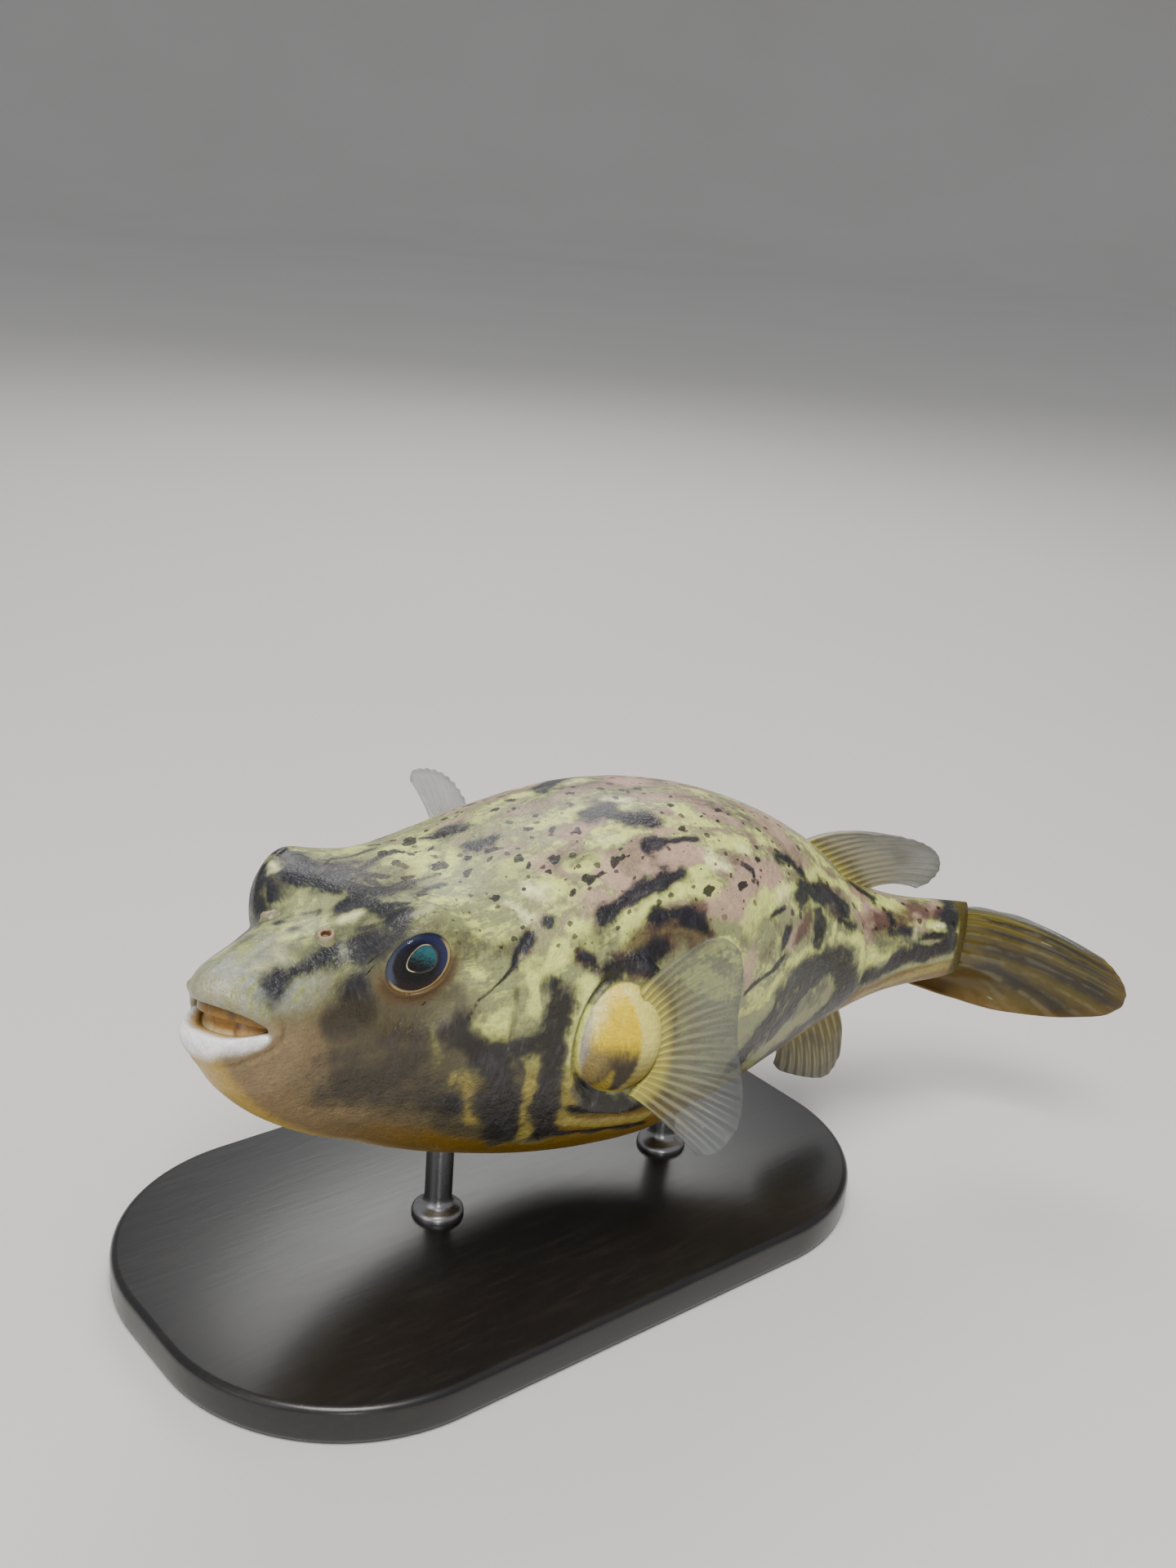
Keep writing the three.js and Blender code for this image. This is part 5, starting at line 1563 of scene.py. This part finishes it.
# ---- Beak ----
class PUFFER_OT_beak(bpy.types.Operator):
    """Makes the upper and lower tooth plates, each parted in the middle"""

    bl_idname = "puffer.beak"
    bl_label = "Beak"

    def execute(self, context):
        material = beak_finish(context.scene.puffer_beak)
        self.plate("upper_teeth", True, material, "upper_beak")
        self.plate("lower_teeth", False, material, "lower_beak")
        return {"FINISHED"}

    def plate(self, name, is_upper, material, node):
        columns = 96
        rows = 20
        piece, column, row = new_grid(name, columns, rows)
        across = column / columns * 2 - 1
        share = row / rows
        part = np.exp(-((across / 0.035) ** 2))
        arch = np.sqrt(1 - 0.95 * across**2)
        way = -1 if is_upper else 1
        root = mix(-2.0, 2.1, arch) if is_upper else mix(-2.9, -4.0, arch)
        line = (-0.8 if is_upper else -1.15) - 1.75 * across**2 - 0.12 * way
        edge = line + way * -0.32 * part
        lean = 0.55 * (1 - share) ** 2 if is_upper else 0.1 + 0.5 * share
        station = (2.0 if is_upper else 2.9) + 4.7 * across**2 + 0.3 * part + lean
        side = across * mix(5.7, 5.5, share)
        body = np.stack([station, side, mix(root, edge, share)], 1)
        set_points(piece, place(body) * MM)
        give(piece, "tooth", np.stack([across, share, part], 1))
        kind = 0 * across + (1 if is_upper else 0)
        give(piece, "jaw", np.stack([kind, side, body[:, 2]], 1))
        solid = piece.modifiers.new("thickness", "SOLIDIFY")
        solid.thickness = 0.8 * MM
        solid.offset = -1 if is_upper else 1
        bevel = piece.modifiers.new("edges", "BEVEL")
        bevel.width = 0.2 * MM
        bevel.segments = 3
        bevel.limit_method = "ANGLE"
        bevel.angle_limit = math.radians(50)
        apply_modifiers(piece)
        point_outwards(piece)
        finish_piece(piece, material, [node])


def beak_finish(settings):
    """Golden-brown dentine, creamy at the lower gum and darker under the upper lip."""
    f = Finish("puffer_beak")
    at = f.place()
    across, share, part = f.parts("tooth")
    is_upper, side, _ = f.parts("jaw")
    blots = f.cloud(at, 1.6, 3)
    fine = f.cloud(at, 0.4, 3)
    browned = f.step(share + across.size() * 0.3 + blots * 0.2, 0.15, 0.75)
    lower = f.blend(settings.cream, settings.tan, browned)
    upper = f.blend(settings.shadow, settings.honey, f.step(share + (blots - 0.5) * 0.2, 0.2, 1.0))
    tooth = f.blend(lower, upper, is_upper)
    groove = f.step((side.size() - 2.6 + (blots - 0.5) * 0.6).size(), 0.55, 0.05)
    tooth = f.blend(tooth, settings.groove, (groove * 0.6).most(part * 0.85))
    tooth = f.shade(tooth, 0.94 + (fine - 0.5) * 0.12)
    f.set(Base_Color=tooth, Roughness=0.36 + (fine - 0.5) * 0.12, Coat_Weight=0.15, Coat_Roughness=0.2)
    f.set(Normal=f.bump(blots * 0.7 + fine * 0.3, 0.08), Subsurface_Weight=0.1, Subsurface_Scale=0.001)
    return f.material


# ---- Nostrils ----
# Radius and rise of a nose ring, from its foot over the rim to the bottom of its opening.
NOSE_OUTLINE = [
    (2.1, -0.7), (1.75, -0.22), (1.42, 0.12), (1.22, 0.4), (1.12, 0.64), (1.0, 0.8), (0.84, 0.85),
    (0.69, 0.78), (0.6, 0.58), (0.54, 0.2), (0.46, -0.1), (0.25, -0.25), (0.0, -0.28),
]


class PUFFER_OT_nostrils(bpy.types.Operator):
    """Makes the two low nose rings"""

    bl_idname = "puffer.nostrils"
    bl_label = "Nostrils"

    def execute(self, context):
        settings = context.scene.puffer_skin
        material = nostril_finish(settings)
        for side, mirror in (("left", 1), ("right", -1)):
            angles = np.radians(np.linspace(35, 88, 300))
            row = body_point(NOSTRIL["station"], angles)
            turn = math.degrees(angles[np.argmin(np.abs(row[:, 1] - NOSTRIL["side"]))])
            turn = turn if mirror > 0 else 180 - turn
            at = skin_point(NOSTRIL["station"], turn)
            ahead = skin_point(NOSTRIL["station"] - 1, turn) - at
            round_body = skin_point(NOSTRIL["station"], turn + mirror) - at
            out = np.cross(ahead, round_body)
            out = out / np.linalg.norm(out) * math.copysign(1, out[2])
            self.tube(side + "_nose_ring", at, out, material, side)
        return {"FINISHED"}

    def tube(self, name, at, out, material, side):
        piece = spin_outline(name, to_points(NOSE_OUTLINE), 48)
        points = get_points(piece) / MM
        around = np.arctan2(points[:, 1], points[:, 0])
        reach = np.hypot(points[:, 0], points[:, 1])
        lift = ramp(points[:, 2], 0.1, 0.8)
        points[:, 2] += lift * (0.18 * np.cos(around) + 0.07 * np.sin(3 * around + 1))
        points[:, :2] *= (1 + 0.06 * np.cos(2 * around) * lift)[:, None]
        give(piece, "tube", np.stack([reach, points[:, 2], around], 1))
        turn = np.array(Vector(out).to_track_quat("Z", "Y").to_matrix())
        set_points(piece, (points @ turn.T + at) * MM)
        point_outwards(piece)
        finish_piece(piece, material, [side + "_nostril"])


def nostril_finish(settings):
    """Olive foot, pinkish rim and a reddish-brown opening."""
    f = Finish("puffer_nostril")
    at = f.place()
    radius, rise, _ = f.parts("tube")
    fine = f.cloud(at, 0.7, 3)
    look = f.blend(settings.nose_foot, settings.nose_rim, f.step(rise + (fine - 0.5) * 0.3, 0.1, 0.7))
    look = f.blend(look, settings.dusk, f.step(fine, 0.6, 0.9) * 0.5)
    look = f.blend(look, settings.nose_opening, f.step(radius, 0.72, 0.55))
    f.set(Base_Color=look, Roughness=0.4, Normal=f.bump(fine, 0.08), Coat_Weight=0.2, Coat_Roughness=0.2)
    return f.material


# ---- Fins ----
COLUMNS_PER_RAY = 12
FIN_STEPS = 56
# How much of a fin's reach is sunk in the body, and how high its rays stand, in millimetres.
FIN_SUNK = 0.07
FIN_PLEAT = 0.1
# Rows are: place along the root from first ray to last, then station, side, rise.
FINS = {
    "dorsal_fin": {
        "rays": 12, "root": 1.7, "bow": [0, -0.8, 1.2],
        "roots": [[0, 111.5, 0, 17.5], [0.5, 119, 0, 13], [1, 126.5, 0, 8.6]],
        "reaches": [
            [0, 14.6, 6, 4.1], [0.25, 17.3, 7, 5.4], [0.5, 18, 7, 5.4], [0.75, 16, 6, 4], [1, 11, 3.5, 2.2],
        ],
    },
    "anal_fin": {
        "rays": 10, "root": 1.5, "bow": [0.8, 0.4, 0],
        "roots": [[0, 114, 0, -15.2], [0.5, 119.5, 0, -12.8], [1, 125, 0, -10.4]],
        "reaches": [[0, 2.5, 0, -9], [0.35, 4.2, 0, -12.6], [0.7, 5.2, 0, -14.6], [1, 4, 0, -11.5]],
    },
    "caudal_fin": {
        "rays": 10, "root": 3.0, "bow": [1.2, -3.2, 0.8],
        "roots": [
            [0, 148.5, 0, 5.6], [0.25, 149.6, 0, 3.6], [0.5, 150, 0, 0],
            [0.75, 149.6, 0, -4.4], [0.92, 147.5, -0.5, -6.4], [1, 141.5, -1, -6.2],
        ],
        "reaches": [
            [0, 21.5, 14, -4.4], [0.25, 24.5, 15.6, -6.4], [0.5, 26.5, 16, -7.2],
            [0.7, 25, 12, -8.8], [0.85, 14, 1, -10.2], [0.94, 2, -6.5, -8.8], [1, -6, -3.5, -0.5],
        ],
    },
    "left_pectoral_fin": {
        "rays": 19, "root": 2.0, "bow": [0.5, -0.8, 0],
        "roots": [
            [0, 62.4, 28.0, 1.6], [0.25, 65.8, 28.6, -2.2], [0.5, 67.6, 29.2, -7],
            [0.75, 66.6, 29.6, -11.4], [1, 62.7, 29.8, -14.8],
        ],
        "reaches": [
            [0, 5.0, 6.6, 10.0], [0.12, 8.0, 7.2, 12.0], [0.25, 8.8, 7.8, 10.3], [0.5, 7.9, 7.6, 5.6],
            [0.62, 10.4, 8, 2.6], [0.75, 14.2, 8.4, -1.2], [0.88, 15.8, 8.6, -5.6], [1, 10.4, 8.6, -7.6],
        ],
    },
    "right_pectoral_fin": {
        "rays": 19, "root": 2.0, "bow": [0.5, 0.8, 0],
        "roots": [
            [0, 62.4, -28.0, 3.8], [0.25, 65.8, -28.6, 0], [0.5, 67.6, -29.2, -4.6],
            [0.75, 66.6, -29.6, -9], [1, 62.7, -29.8, -12.4],
        ],
        "reaches": [
            [0, -1.7, -12, 11.3], [0.15, -0.3, -12.5, 13.8], [0.3, 1.5, -12.5, 15], [0.5, 3.9, -12, 14.4],
            [0.7, 7.5, -11.5, 11], [0.85, 9.5, -10, 4.8], [1, 8.9, -9, -2.2],
        ],
    },
}


class PUFFER_OT_fins(bpy.types.Operator):
    """Makes the five fins, each a fan of branching rays in a thin membrane"""

    bl_idname = "puffer.fins"
    bl_label = "Fins"

    def execute(self, context):
        settings = context.scene.puffer_fin
        clear = fin_finish("puffer_clear_fin", settings, 0.30, 0.0)
        soft = fin_finish("puffer_soft_fin", settings, 0.45, 0.5)
        low = fin_finish("puffer_low_fin", settings, 0.55, 0.9)
        tail = tail_finish(settings)
        for name, fin in FINS.items():
            material = {"caudal_fin": tail, "dorsal_fin": soft, "anal_fin": low}.get(name, clear)
            self.fin(name, fin, settings, material)
        return {"FINISHED"}

    def fin(self, name, fin, settings, material):
        columns = fin["rays"] * COLUMNS_PER_RAY
        steps = FIN_STEPS
        piece, column, row = new_grid(name.replace("_fin", "_membrane"), columns, steps)
        along = column / columns
        out = row / steps * (1 + FIN_SUNK) - FIN_SUNK
        root = read_table(np.array(fin["roots"], float), along)[:, 1:]
        reach = sum(read_table(np.array(fin["reaches"], float), np.clip(along + shift, 0, 1))[:, 1:]
                    for shift in (-0.09, -0.045, 0, 0.045, 0.09)) / 5
        arch = (4 * out * (1 - out))[:, None] * np.array(fin["bow"])
        phase = along * (fin["rays"] - 1)
        ray = 0.5 + 0.5 * np.cos(2 * math.pi * phase)
        margin = 1 - 0.006 * (1 - ray) * ramp(out, 0.7, 1.0)
        corner = np.clip(1 - np.minimum(along, 1 - along) / 0.09, 0, 1)
        margin = margin * (1 - 0.14 * corner**2)
        body = root + reach * (out * margin)[:, None] + arch
        points = place(body)
        grid = points[np.lexsort((column, row))].reshape(steps + 1, columns + 1, 3)
        normal = np.cross(np.gradient(grid, axis=1), np.gradient(grid, axis=0))
        normal = normal / np.maximum(np.linalg.norm(normal, axis=2, keepdims=True), 1e-9)
        normal = normal[row, column]
        pleat = FIN_PLEAT * np.cos(2 * math.pi * phase) * ramp(out, 0.1, 0.7)
        points = points + normal * pleat[:, None]
        set_points(piece, points * MM)
        branches = 0.5 + 0.5 * np.cos(2 * math.pi * phase * 2)
        ridge = mix(ray**2, np.maximum(ray**2, branches**2 * 0.8), ramp(out, 0.45, 0.75))
        base = mix(fin["root"], settings.edge / MM, np.clip(out, 0, 1) ** 0.5)
        thick = base * mix(0.72, 0.9, out) + 0.2 * base * ridge * (1 - np.clip(out, 0, 1))
        give(piece, "fan", np.stack([along, out, phase], 1))
        group = piece.vertex_groups.new(name="thick")
        for value in np.unique(np.round(thick / fin["root"], 2)):
            chosen = np.nonzero(np.abs(thick / fin["root"] - value) < 0.005)[0]
            group.add([int(v) for v in chosen], float(value), "REPLACE")
        solid = piece.modifiers.new("thickness", "SOLIDIFY")
        solid.thickness = fin["root"] * MM
        solid.offset = 0
        solid.vertex_group = "thick"
        solid.thickness_vertex_group = 0.05
        apply_modifiers(piece)
        point_outwards(piece)
        finish_piece(piece, material, [name])


def ray_lines(f, phase, out, thin):
    """Soft pale rays that branch towards the margin."""
    once = f.step((phase * 2 * math.pi).wave(), thin, 1.0)
    twice = f.step((phase * 4 * math.pi).wave(), thin, 1.0)
    return f.node("ShaderNodeMix", inputs={0: f.step(out, 0.35, 0.75), 2: once, 3: twice})


def fin_finish(name, settings, membrane, body):
    """Clear membrane between soft rays, yellower and denser at the root."""
    f = Finish(name)
    at = f.place()
    _, out, phase = f.parts("fan")
    wave = (f.cloud(at, 6.0, 2) - 0.5) * 0.08
    lines = ray_lines(f, phase + wave, out, -0.2) * f.step(out, 1.15, 0.5)
    valley = f.step((phase * 2 * math.pi).wave(), 0.1, -0.9) * f.step(out, 0.85, 0.15)
    mottle = f.cloud(at, 4.0, 2)
    root = f.step(out + (mottle - 0.5) * 0.3, 0.6 + body * 0.5, 0.02)
    look = f.blend(settings.mist, settings.olive, root * 0.85 + body * 0.35)
    look = f.blend(look, settings.ray, lines * 0.5)
    look = f.blend(look, settings.shade, valley * (0.55 - body * 0.3))
    look = f.blend(look, settings.shade, f.step(mottle, 0.5, 0.9) * (0.2 + body * 0.3))
    look = f.blend(look, settings.glow, f.step(out, 0.22, 0.02) * 0.7)
    clear = membrane + lines * 0.2 + f.step(out, 0.34, 0.0) * 0.4 + body * 0.35 + (mottle - 0.5) * 0.12
    clear = clear + f.step(out, 0.93, 1.0) * 0.12
    clear = clear.most(0.12).least(1.0)
    f.set(Base_Color=look, Roughness=0.42, Alpha=clear, Coat_Weight=0.2)
    f.set(Normal=f.bump(lines * 0.5 + mottle * 0.5, 0.06), Subsurface_Weight=0.15, Subsurface_Scale=0.001)
    return f.material


def tail_finish(settings):
    """Olive-yellow tail with painted shade in its folds, a clear upper edge and golden-brown tips."""
    f = Finish("puffer_tail_fin")
    at = f.place()
    along, out, phase = f.parts("fan")
    wave = (f.cloud(at, 6.0, 2) - 0.5) * 0.1
    lines = ray_lines(f, phase + wave, out, 0.0)
    mottle = f.cloud(at, 4.0, 3)
    look = f.blend(settings.bronze, settings.sunny, f.step(along, 0.5, 0.1) * 0.85)
    look = f.blend(look, settings.fold, f.step(mottle, 0.55, 0.9) * 0.5)
    # Painted shade: dark bands where the tail fin folds.
    for middle, width in ((0.2, 0.06), (0.36, 0.075), (0.56, 0.1), (0.74, 0.07)):
        dark = f.step((along - middle + (mottle - 0.5) * 0.05).size(), width, 0.0)
        look = f.blend(look, settings.fold, dark * f.step(out, 0.05, 0.25) * 0.95)
    look = f.blend(look, settings.ray, lines * f.step(mottle, 0.2, 0.7) * 0.14)
    look = f.blend(look, settings.amber, f.step(along, 0.76, 0.95) * 0.85)
    look = f.blend(look, settings.amber, f.step(out + (mottle - 0.5) * 0.1, 0.86, 1.0) * 0.4)
    edge = f.step(along, 0.13, 0.0)
    look = f.blend(look, settings.mist, edge * 0.8)
    clear = (0.98 - edge * 0.4).most(0.3)
    f.set(Base_Color=look, Roughness=0.4, Alpha=clear, Coat_Weight=0.25)
    f.set(Normal=f.bump(lines * 0.6 + mottle * 0.4, 0.1), Subsurface_Weight=0.15, Subsurface_Scale=0.001)
    return f.material


# ---- Stand ----
ROD_RADIUS = 2.2
# Radius and rise of a rod's flared foot.
ROD_FOOT = [
    (0, 0), (4.2, 0), (4.2, 0.5), (4.05, 0.95), (3.6, 1.35), (2.9, 1.75), (2.45, 2.2), (2.25, 2.8),
    (ROD_RADIUS, 3.4),
]


class PUFFER_OT_stand(bpy.types.Operator):
    """Makes the lacquered base and the two steel rods"""

    bl_idname = "puffer.stand"
    bl_label = "Stand"

    def execute(self, context):
        settings = context.scene.puffer_stand
        self.base(settings)
        steel = steel_finish(settings)
        for name in ("stand_rod_front", "stand_rod_rear"):
            self.rod(name, steel)
        return {"FINISHED"}

    def base(self, settings):
        low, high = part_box("stand_base")
        bpy.ops.object.select_all(action="DESELECT")
        bpy.ops.mesh.primitive_cube_add(size=1, location=(low + high) / 2, scale=high - low)
        piece = bpy.context.object
        piece.name = "base_board"
        settle(piece)
        corners = piece.modifiers.new("corners", "BEVEL")
        corners.affect = "EDGES"
        corners.limit_method = "WEIGHT"
        weights = piece.data.attributes.new("bevel_weight_edge", "FLOAT", "EDGE")
        for edge in piece.data.edges:
            a, b = (piece.data.vertices[v].co for v in edge.vertices)
            weights.data[edge.index].value = 1.0 if abs(a.z - b.z) > 0.5 * (high.z - low.z) else 0.0
        corners.width = settings.corner
        corners.segments = 28
        rims = piece.modifiers.new("rims", "BEVEL")
        rims.width = 1.2 * MM
        rims.segments = 5
        rims.limit_method = "ANGLE"
        rims.angle_limit = math.radians(60)
        apply_modifiers(piece)
        only(piece)
        bpy.ops.object.shade_smooth_by_angle(angle=math.radians(35))
        finish_piece(piece, base_finish(settings), ["stand_base"], smooth=False)

    def rod(self, name, material):
        low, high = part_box(name)
        foot = Vector(((low.x + high.x) / 2, (low.y + high.y) / 2, low.z - 0.3 * MM))
        tall = high.z - foot.z + 1.2 * MM
        points = to_points(ROD_FOOT)
        points += [Vector((ROD_RADIUS * MM, 0, tall)), Vector((0, 0, tall))]
        piece = spin_outline(name.replace("stand_", ""), points, 64)
        set_points(piece, get_points(piece) + np.array(foot))
        only(piece)
        bpy.ops.object.shade_smooth_by_angle(angle=math.radians(40))
        finish_piece(piece, material, [name], smooth=False)


def base_finish(settings):
    """Black satin lacquer over a fine grain."""
    f = Finish("lacquered_board")
    at = f.place()
    pores = f.noise(f.stretch(at, (0.12, 1, 1)), 0.9, 4)
    cloud = f.noise(at, 40, 2)
    look = f.blend(settings.lacquer, settings.pores, f.step(pores, 0.45, 0.75) * 0.6)
    f.set(Base_Color=look, Roughness=0.34 + (cloud - 0.5) * 0.12 + (pores - 0.5) * 0.1)
    f.set(Normal=f.bump(pores, 0.03), Coat_Weight=0.3, Coat_Roughness=0.2)
    return f.material


def steel_finish(settings):
    """Steel brushed round the rod."""
    f = Finish("brushed_rod")
    at = f.place()
    brush = f.noise(f.stretch(at, (0.2, 0.2, 3.0)), 0.6, 3)
    look = f.blend(settings.steel, settings.bright, brush * 0.5)
    f.set(Base_Color=look, Metallic=1.0, Roughness=0.22 + brush * 0.18, Normal=f.bump(brush, 0.01))
    return f.material


# ---- Stage ----
# Metres: the flat floor's radius and the radius of the cove round it.
FLOOR_RADIUS = 3.0
COVE_RADIUS = 1.4
# Name, place, size, power and tint.
LIGHTS = [
    ("key", (-0.25, -0.3, 0.85), 0.5, 9.0, (1.0, 0.98, 0.95)),
    ("glint", (-0.39, -0.61, 0.19), 0.1, 0.5, (1.0, 1.0, 1.0)),
    ("fill", (-0.8, -0.1, 0.4), 0.6, 0.8, (0.95, 0.97, 1.0)),
    ("back", (0.45, 0.55, 0.65), 0.5, 3.0, (1.0, 0.99, 0.97)),
]
ROOM_TINT = (0.95, 0.96, 1.0, 1)
ROOM_STRENGTH = 0.34


class PUFFER_OT_stage(bpy.types.Operator):
    """Lays the floor and sets the lights and the camera"""

    bl_idname = "puffer.stage"
    bl_label = "Stage"

    def execute(self, context):
        settings = context.scene.puffer_stage
        outline = [Vector((0, 0, 0)), Vector((FLOOR_RADIUS, 0, 0))]
        for degrees in range(10, 81, 10):
            turn = math.radians(degrees)
            radius = FLOOR_RADIUS + COVE_RADIUS * math.sin(turn)
            outline.append(Vector((radius, 0, COVE_RADIUS * (1 - math.cos(turn)))))
        floor = spin_outline("floor", outline, 96, closed=False)
        only(floor)
        bpy.ops.object.shade_smooth()
        f = Finish("pale_floor")
        cloud = f.noise(f.place(), 300, 2)
        f.set(Base_Color=f.blend(settings.floor, settings.floor_light, cloud), Roughness=0.8)
        floor.data.materials.append(f.material)
        self.camera(settings)
        for light in LIGHTS:
            self.light(*light)
        world = bpy.data.worlds.new("room")
        context.scene.world = world
        world.use_nodes = True
        background = world.node_tree.nodes["Background"]
        background.inputs["Color"].default_value = ROOM_TINT
        background.inputs["Strength"].default_value = ROOM_STRENGTH
        return {"FINISHED"}

    def camera(self, settings):
        data = bpy.data.cameras.new("camera")
        camera = bpy.data.objects.new("camera", data)
        bpy.context.scene.collection.objects.link(camera)
        data.lens = settings.lens
        data.sensor_width = 36
        data.clip_start = 0.01
        data.clip_end = 50
        azimuth = settings.azimuth
        down = settings.down
        lean = settings.lean
        level = math.cos(down)
        ahead = Vector((-math.sin(azimuth) * level, math.cos(azimuth) * level, -math.sin(down)))
        right = Vector((math.cos(azimuth), math.sin(azimuth), 0))
        up = right.cross(ahead)
        leaning_right = right * math.cos(lean) + up * math.sin(lean)
        leaning_up = up * math.cos(lean) - right * math.sin(lean)
        turn = Matrix((leaning_right, leaning_up, -ahead)).transposed().to_4x4()
        camera.matrix_world = Matrix.Translation(Vector(settings.camera)) @ turn
        bpy.context.scene.camera = camera

    def light(self, name, at, size, power, tint):
        data = bpy.data.lights.new(name, "AREA")
        data.shape = "DISK"
        data.size = size
        data.energy = power
        data.color = tint
        lamp = bpy.data.objects.new(name, data)
        bpy.context.scene.collection.objects.link(lamp)
        lamp.location = at
        aim = Vector((0, 0, 0.05)) - Vector(at)
        lamp.rotation_euler = aim.to_track_quat("-Z", "Y").to_euler()


class VIEW3D_PT_puffer(bpy.types.Panel):
    """Lists the steps that make the model"""

    bl_label = "Pufferfish"
    bl_idname = "VIEW3D_PT_puffer"
    bl_space_type = "VIEW_3D"
    bl_region_type = "UI"
    bl_category = "Puffer"

    def draw(self, context):
        for name in STEPS:
            self.layout.operator("puffer." + name)
        for group in SETTINGS:
            settings = getattr(context.scene, group)
            for key in settings.bl_rna.properties.keys():
                if key not in ("rna_type", "name"):
                    self.layout.prop(settings, key)


SETTINGS = {
    "puffer_skin": PufferSkinSettings,
    "puffer_eye": PufferEyeSettings,
    "puffer_beak": PufferBeakSettings,
    "puffer_fin": PufferFinSettings,
    "puffer_stand": PufferStandSettings,
    "puffer_stage": PufferStageSettings,
}
STEPS = ["stage", "skin", "eyes", "beak", "nostrils", "fins", "stand"]
CLASSES = [
    *SETTINGS.values(),
    PUFFER_OT_stage,
    PUFFER_OT_skin,
    PUFFER_OT_eyes,
    PUFFER_OT_beak,
    PUFFER_OT_nostrils,
    PUFFER_OT_fins,
    PUFFER_OT_stand,
    VIEW3D_PT_puffer,
]


def register():
    for cls in CLASSES:
        bpy.utils.register_class(cls)
    for name, group in SETTINGS.items():
        setattr(bpy.types.Scene, name, bpy.props.PointerProperty(type=group))


def unregister():
    for name in SETTINGS:
        delattr(bpy.types.Scene, name)
    for cls in reversed(CLASSES):
        bpy.utils.unregister_class(cls)


def main():
    register()
    for name in STEPS:
        getattr(bpy.ops.puffer, name)()


if __name__ == "__main__":
    main()
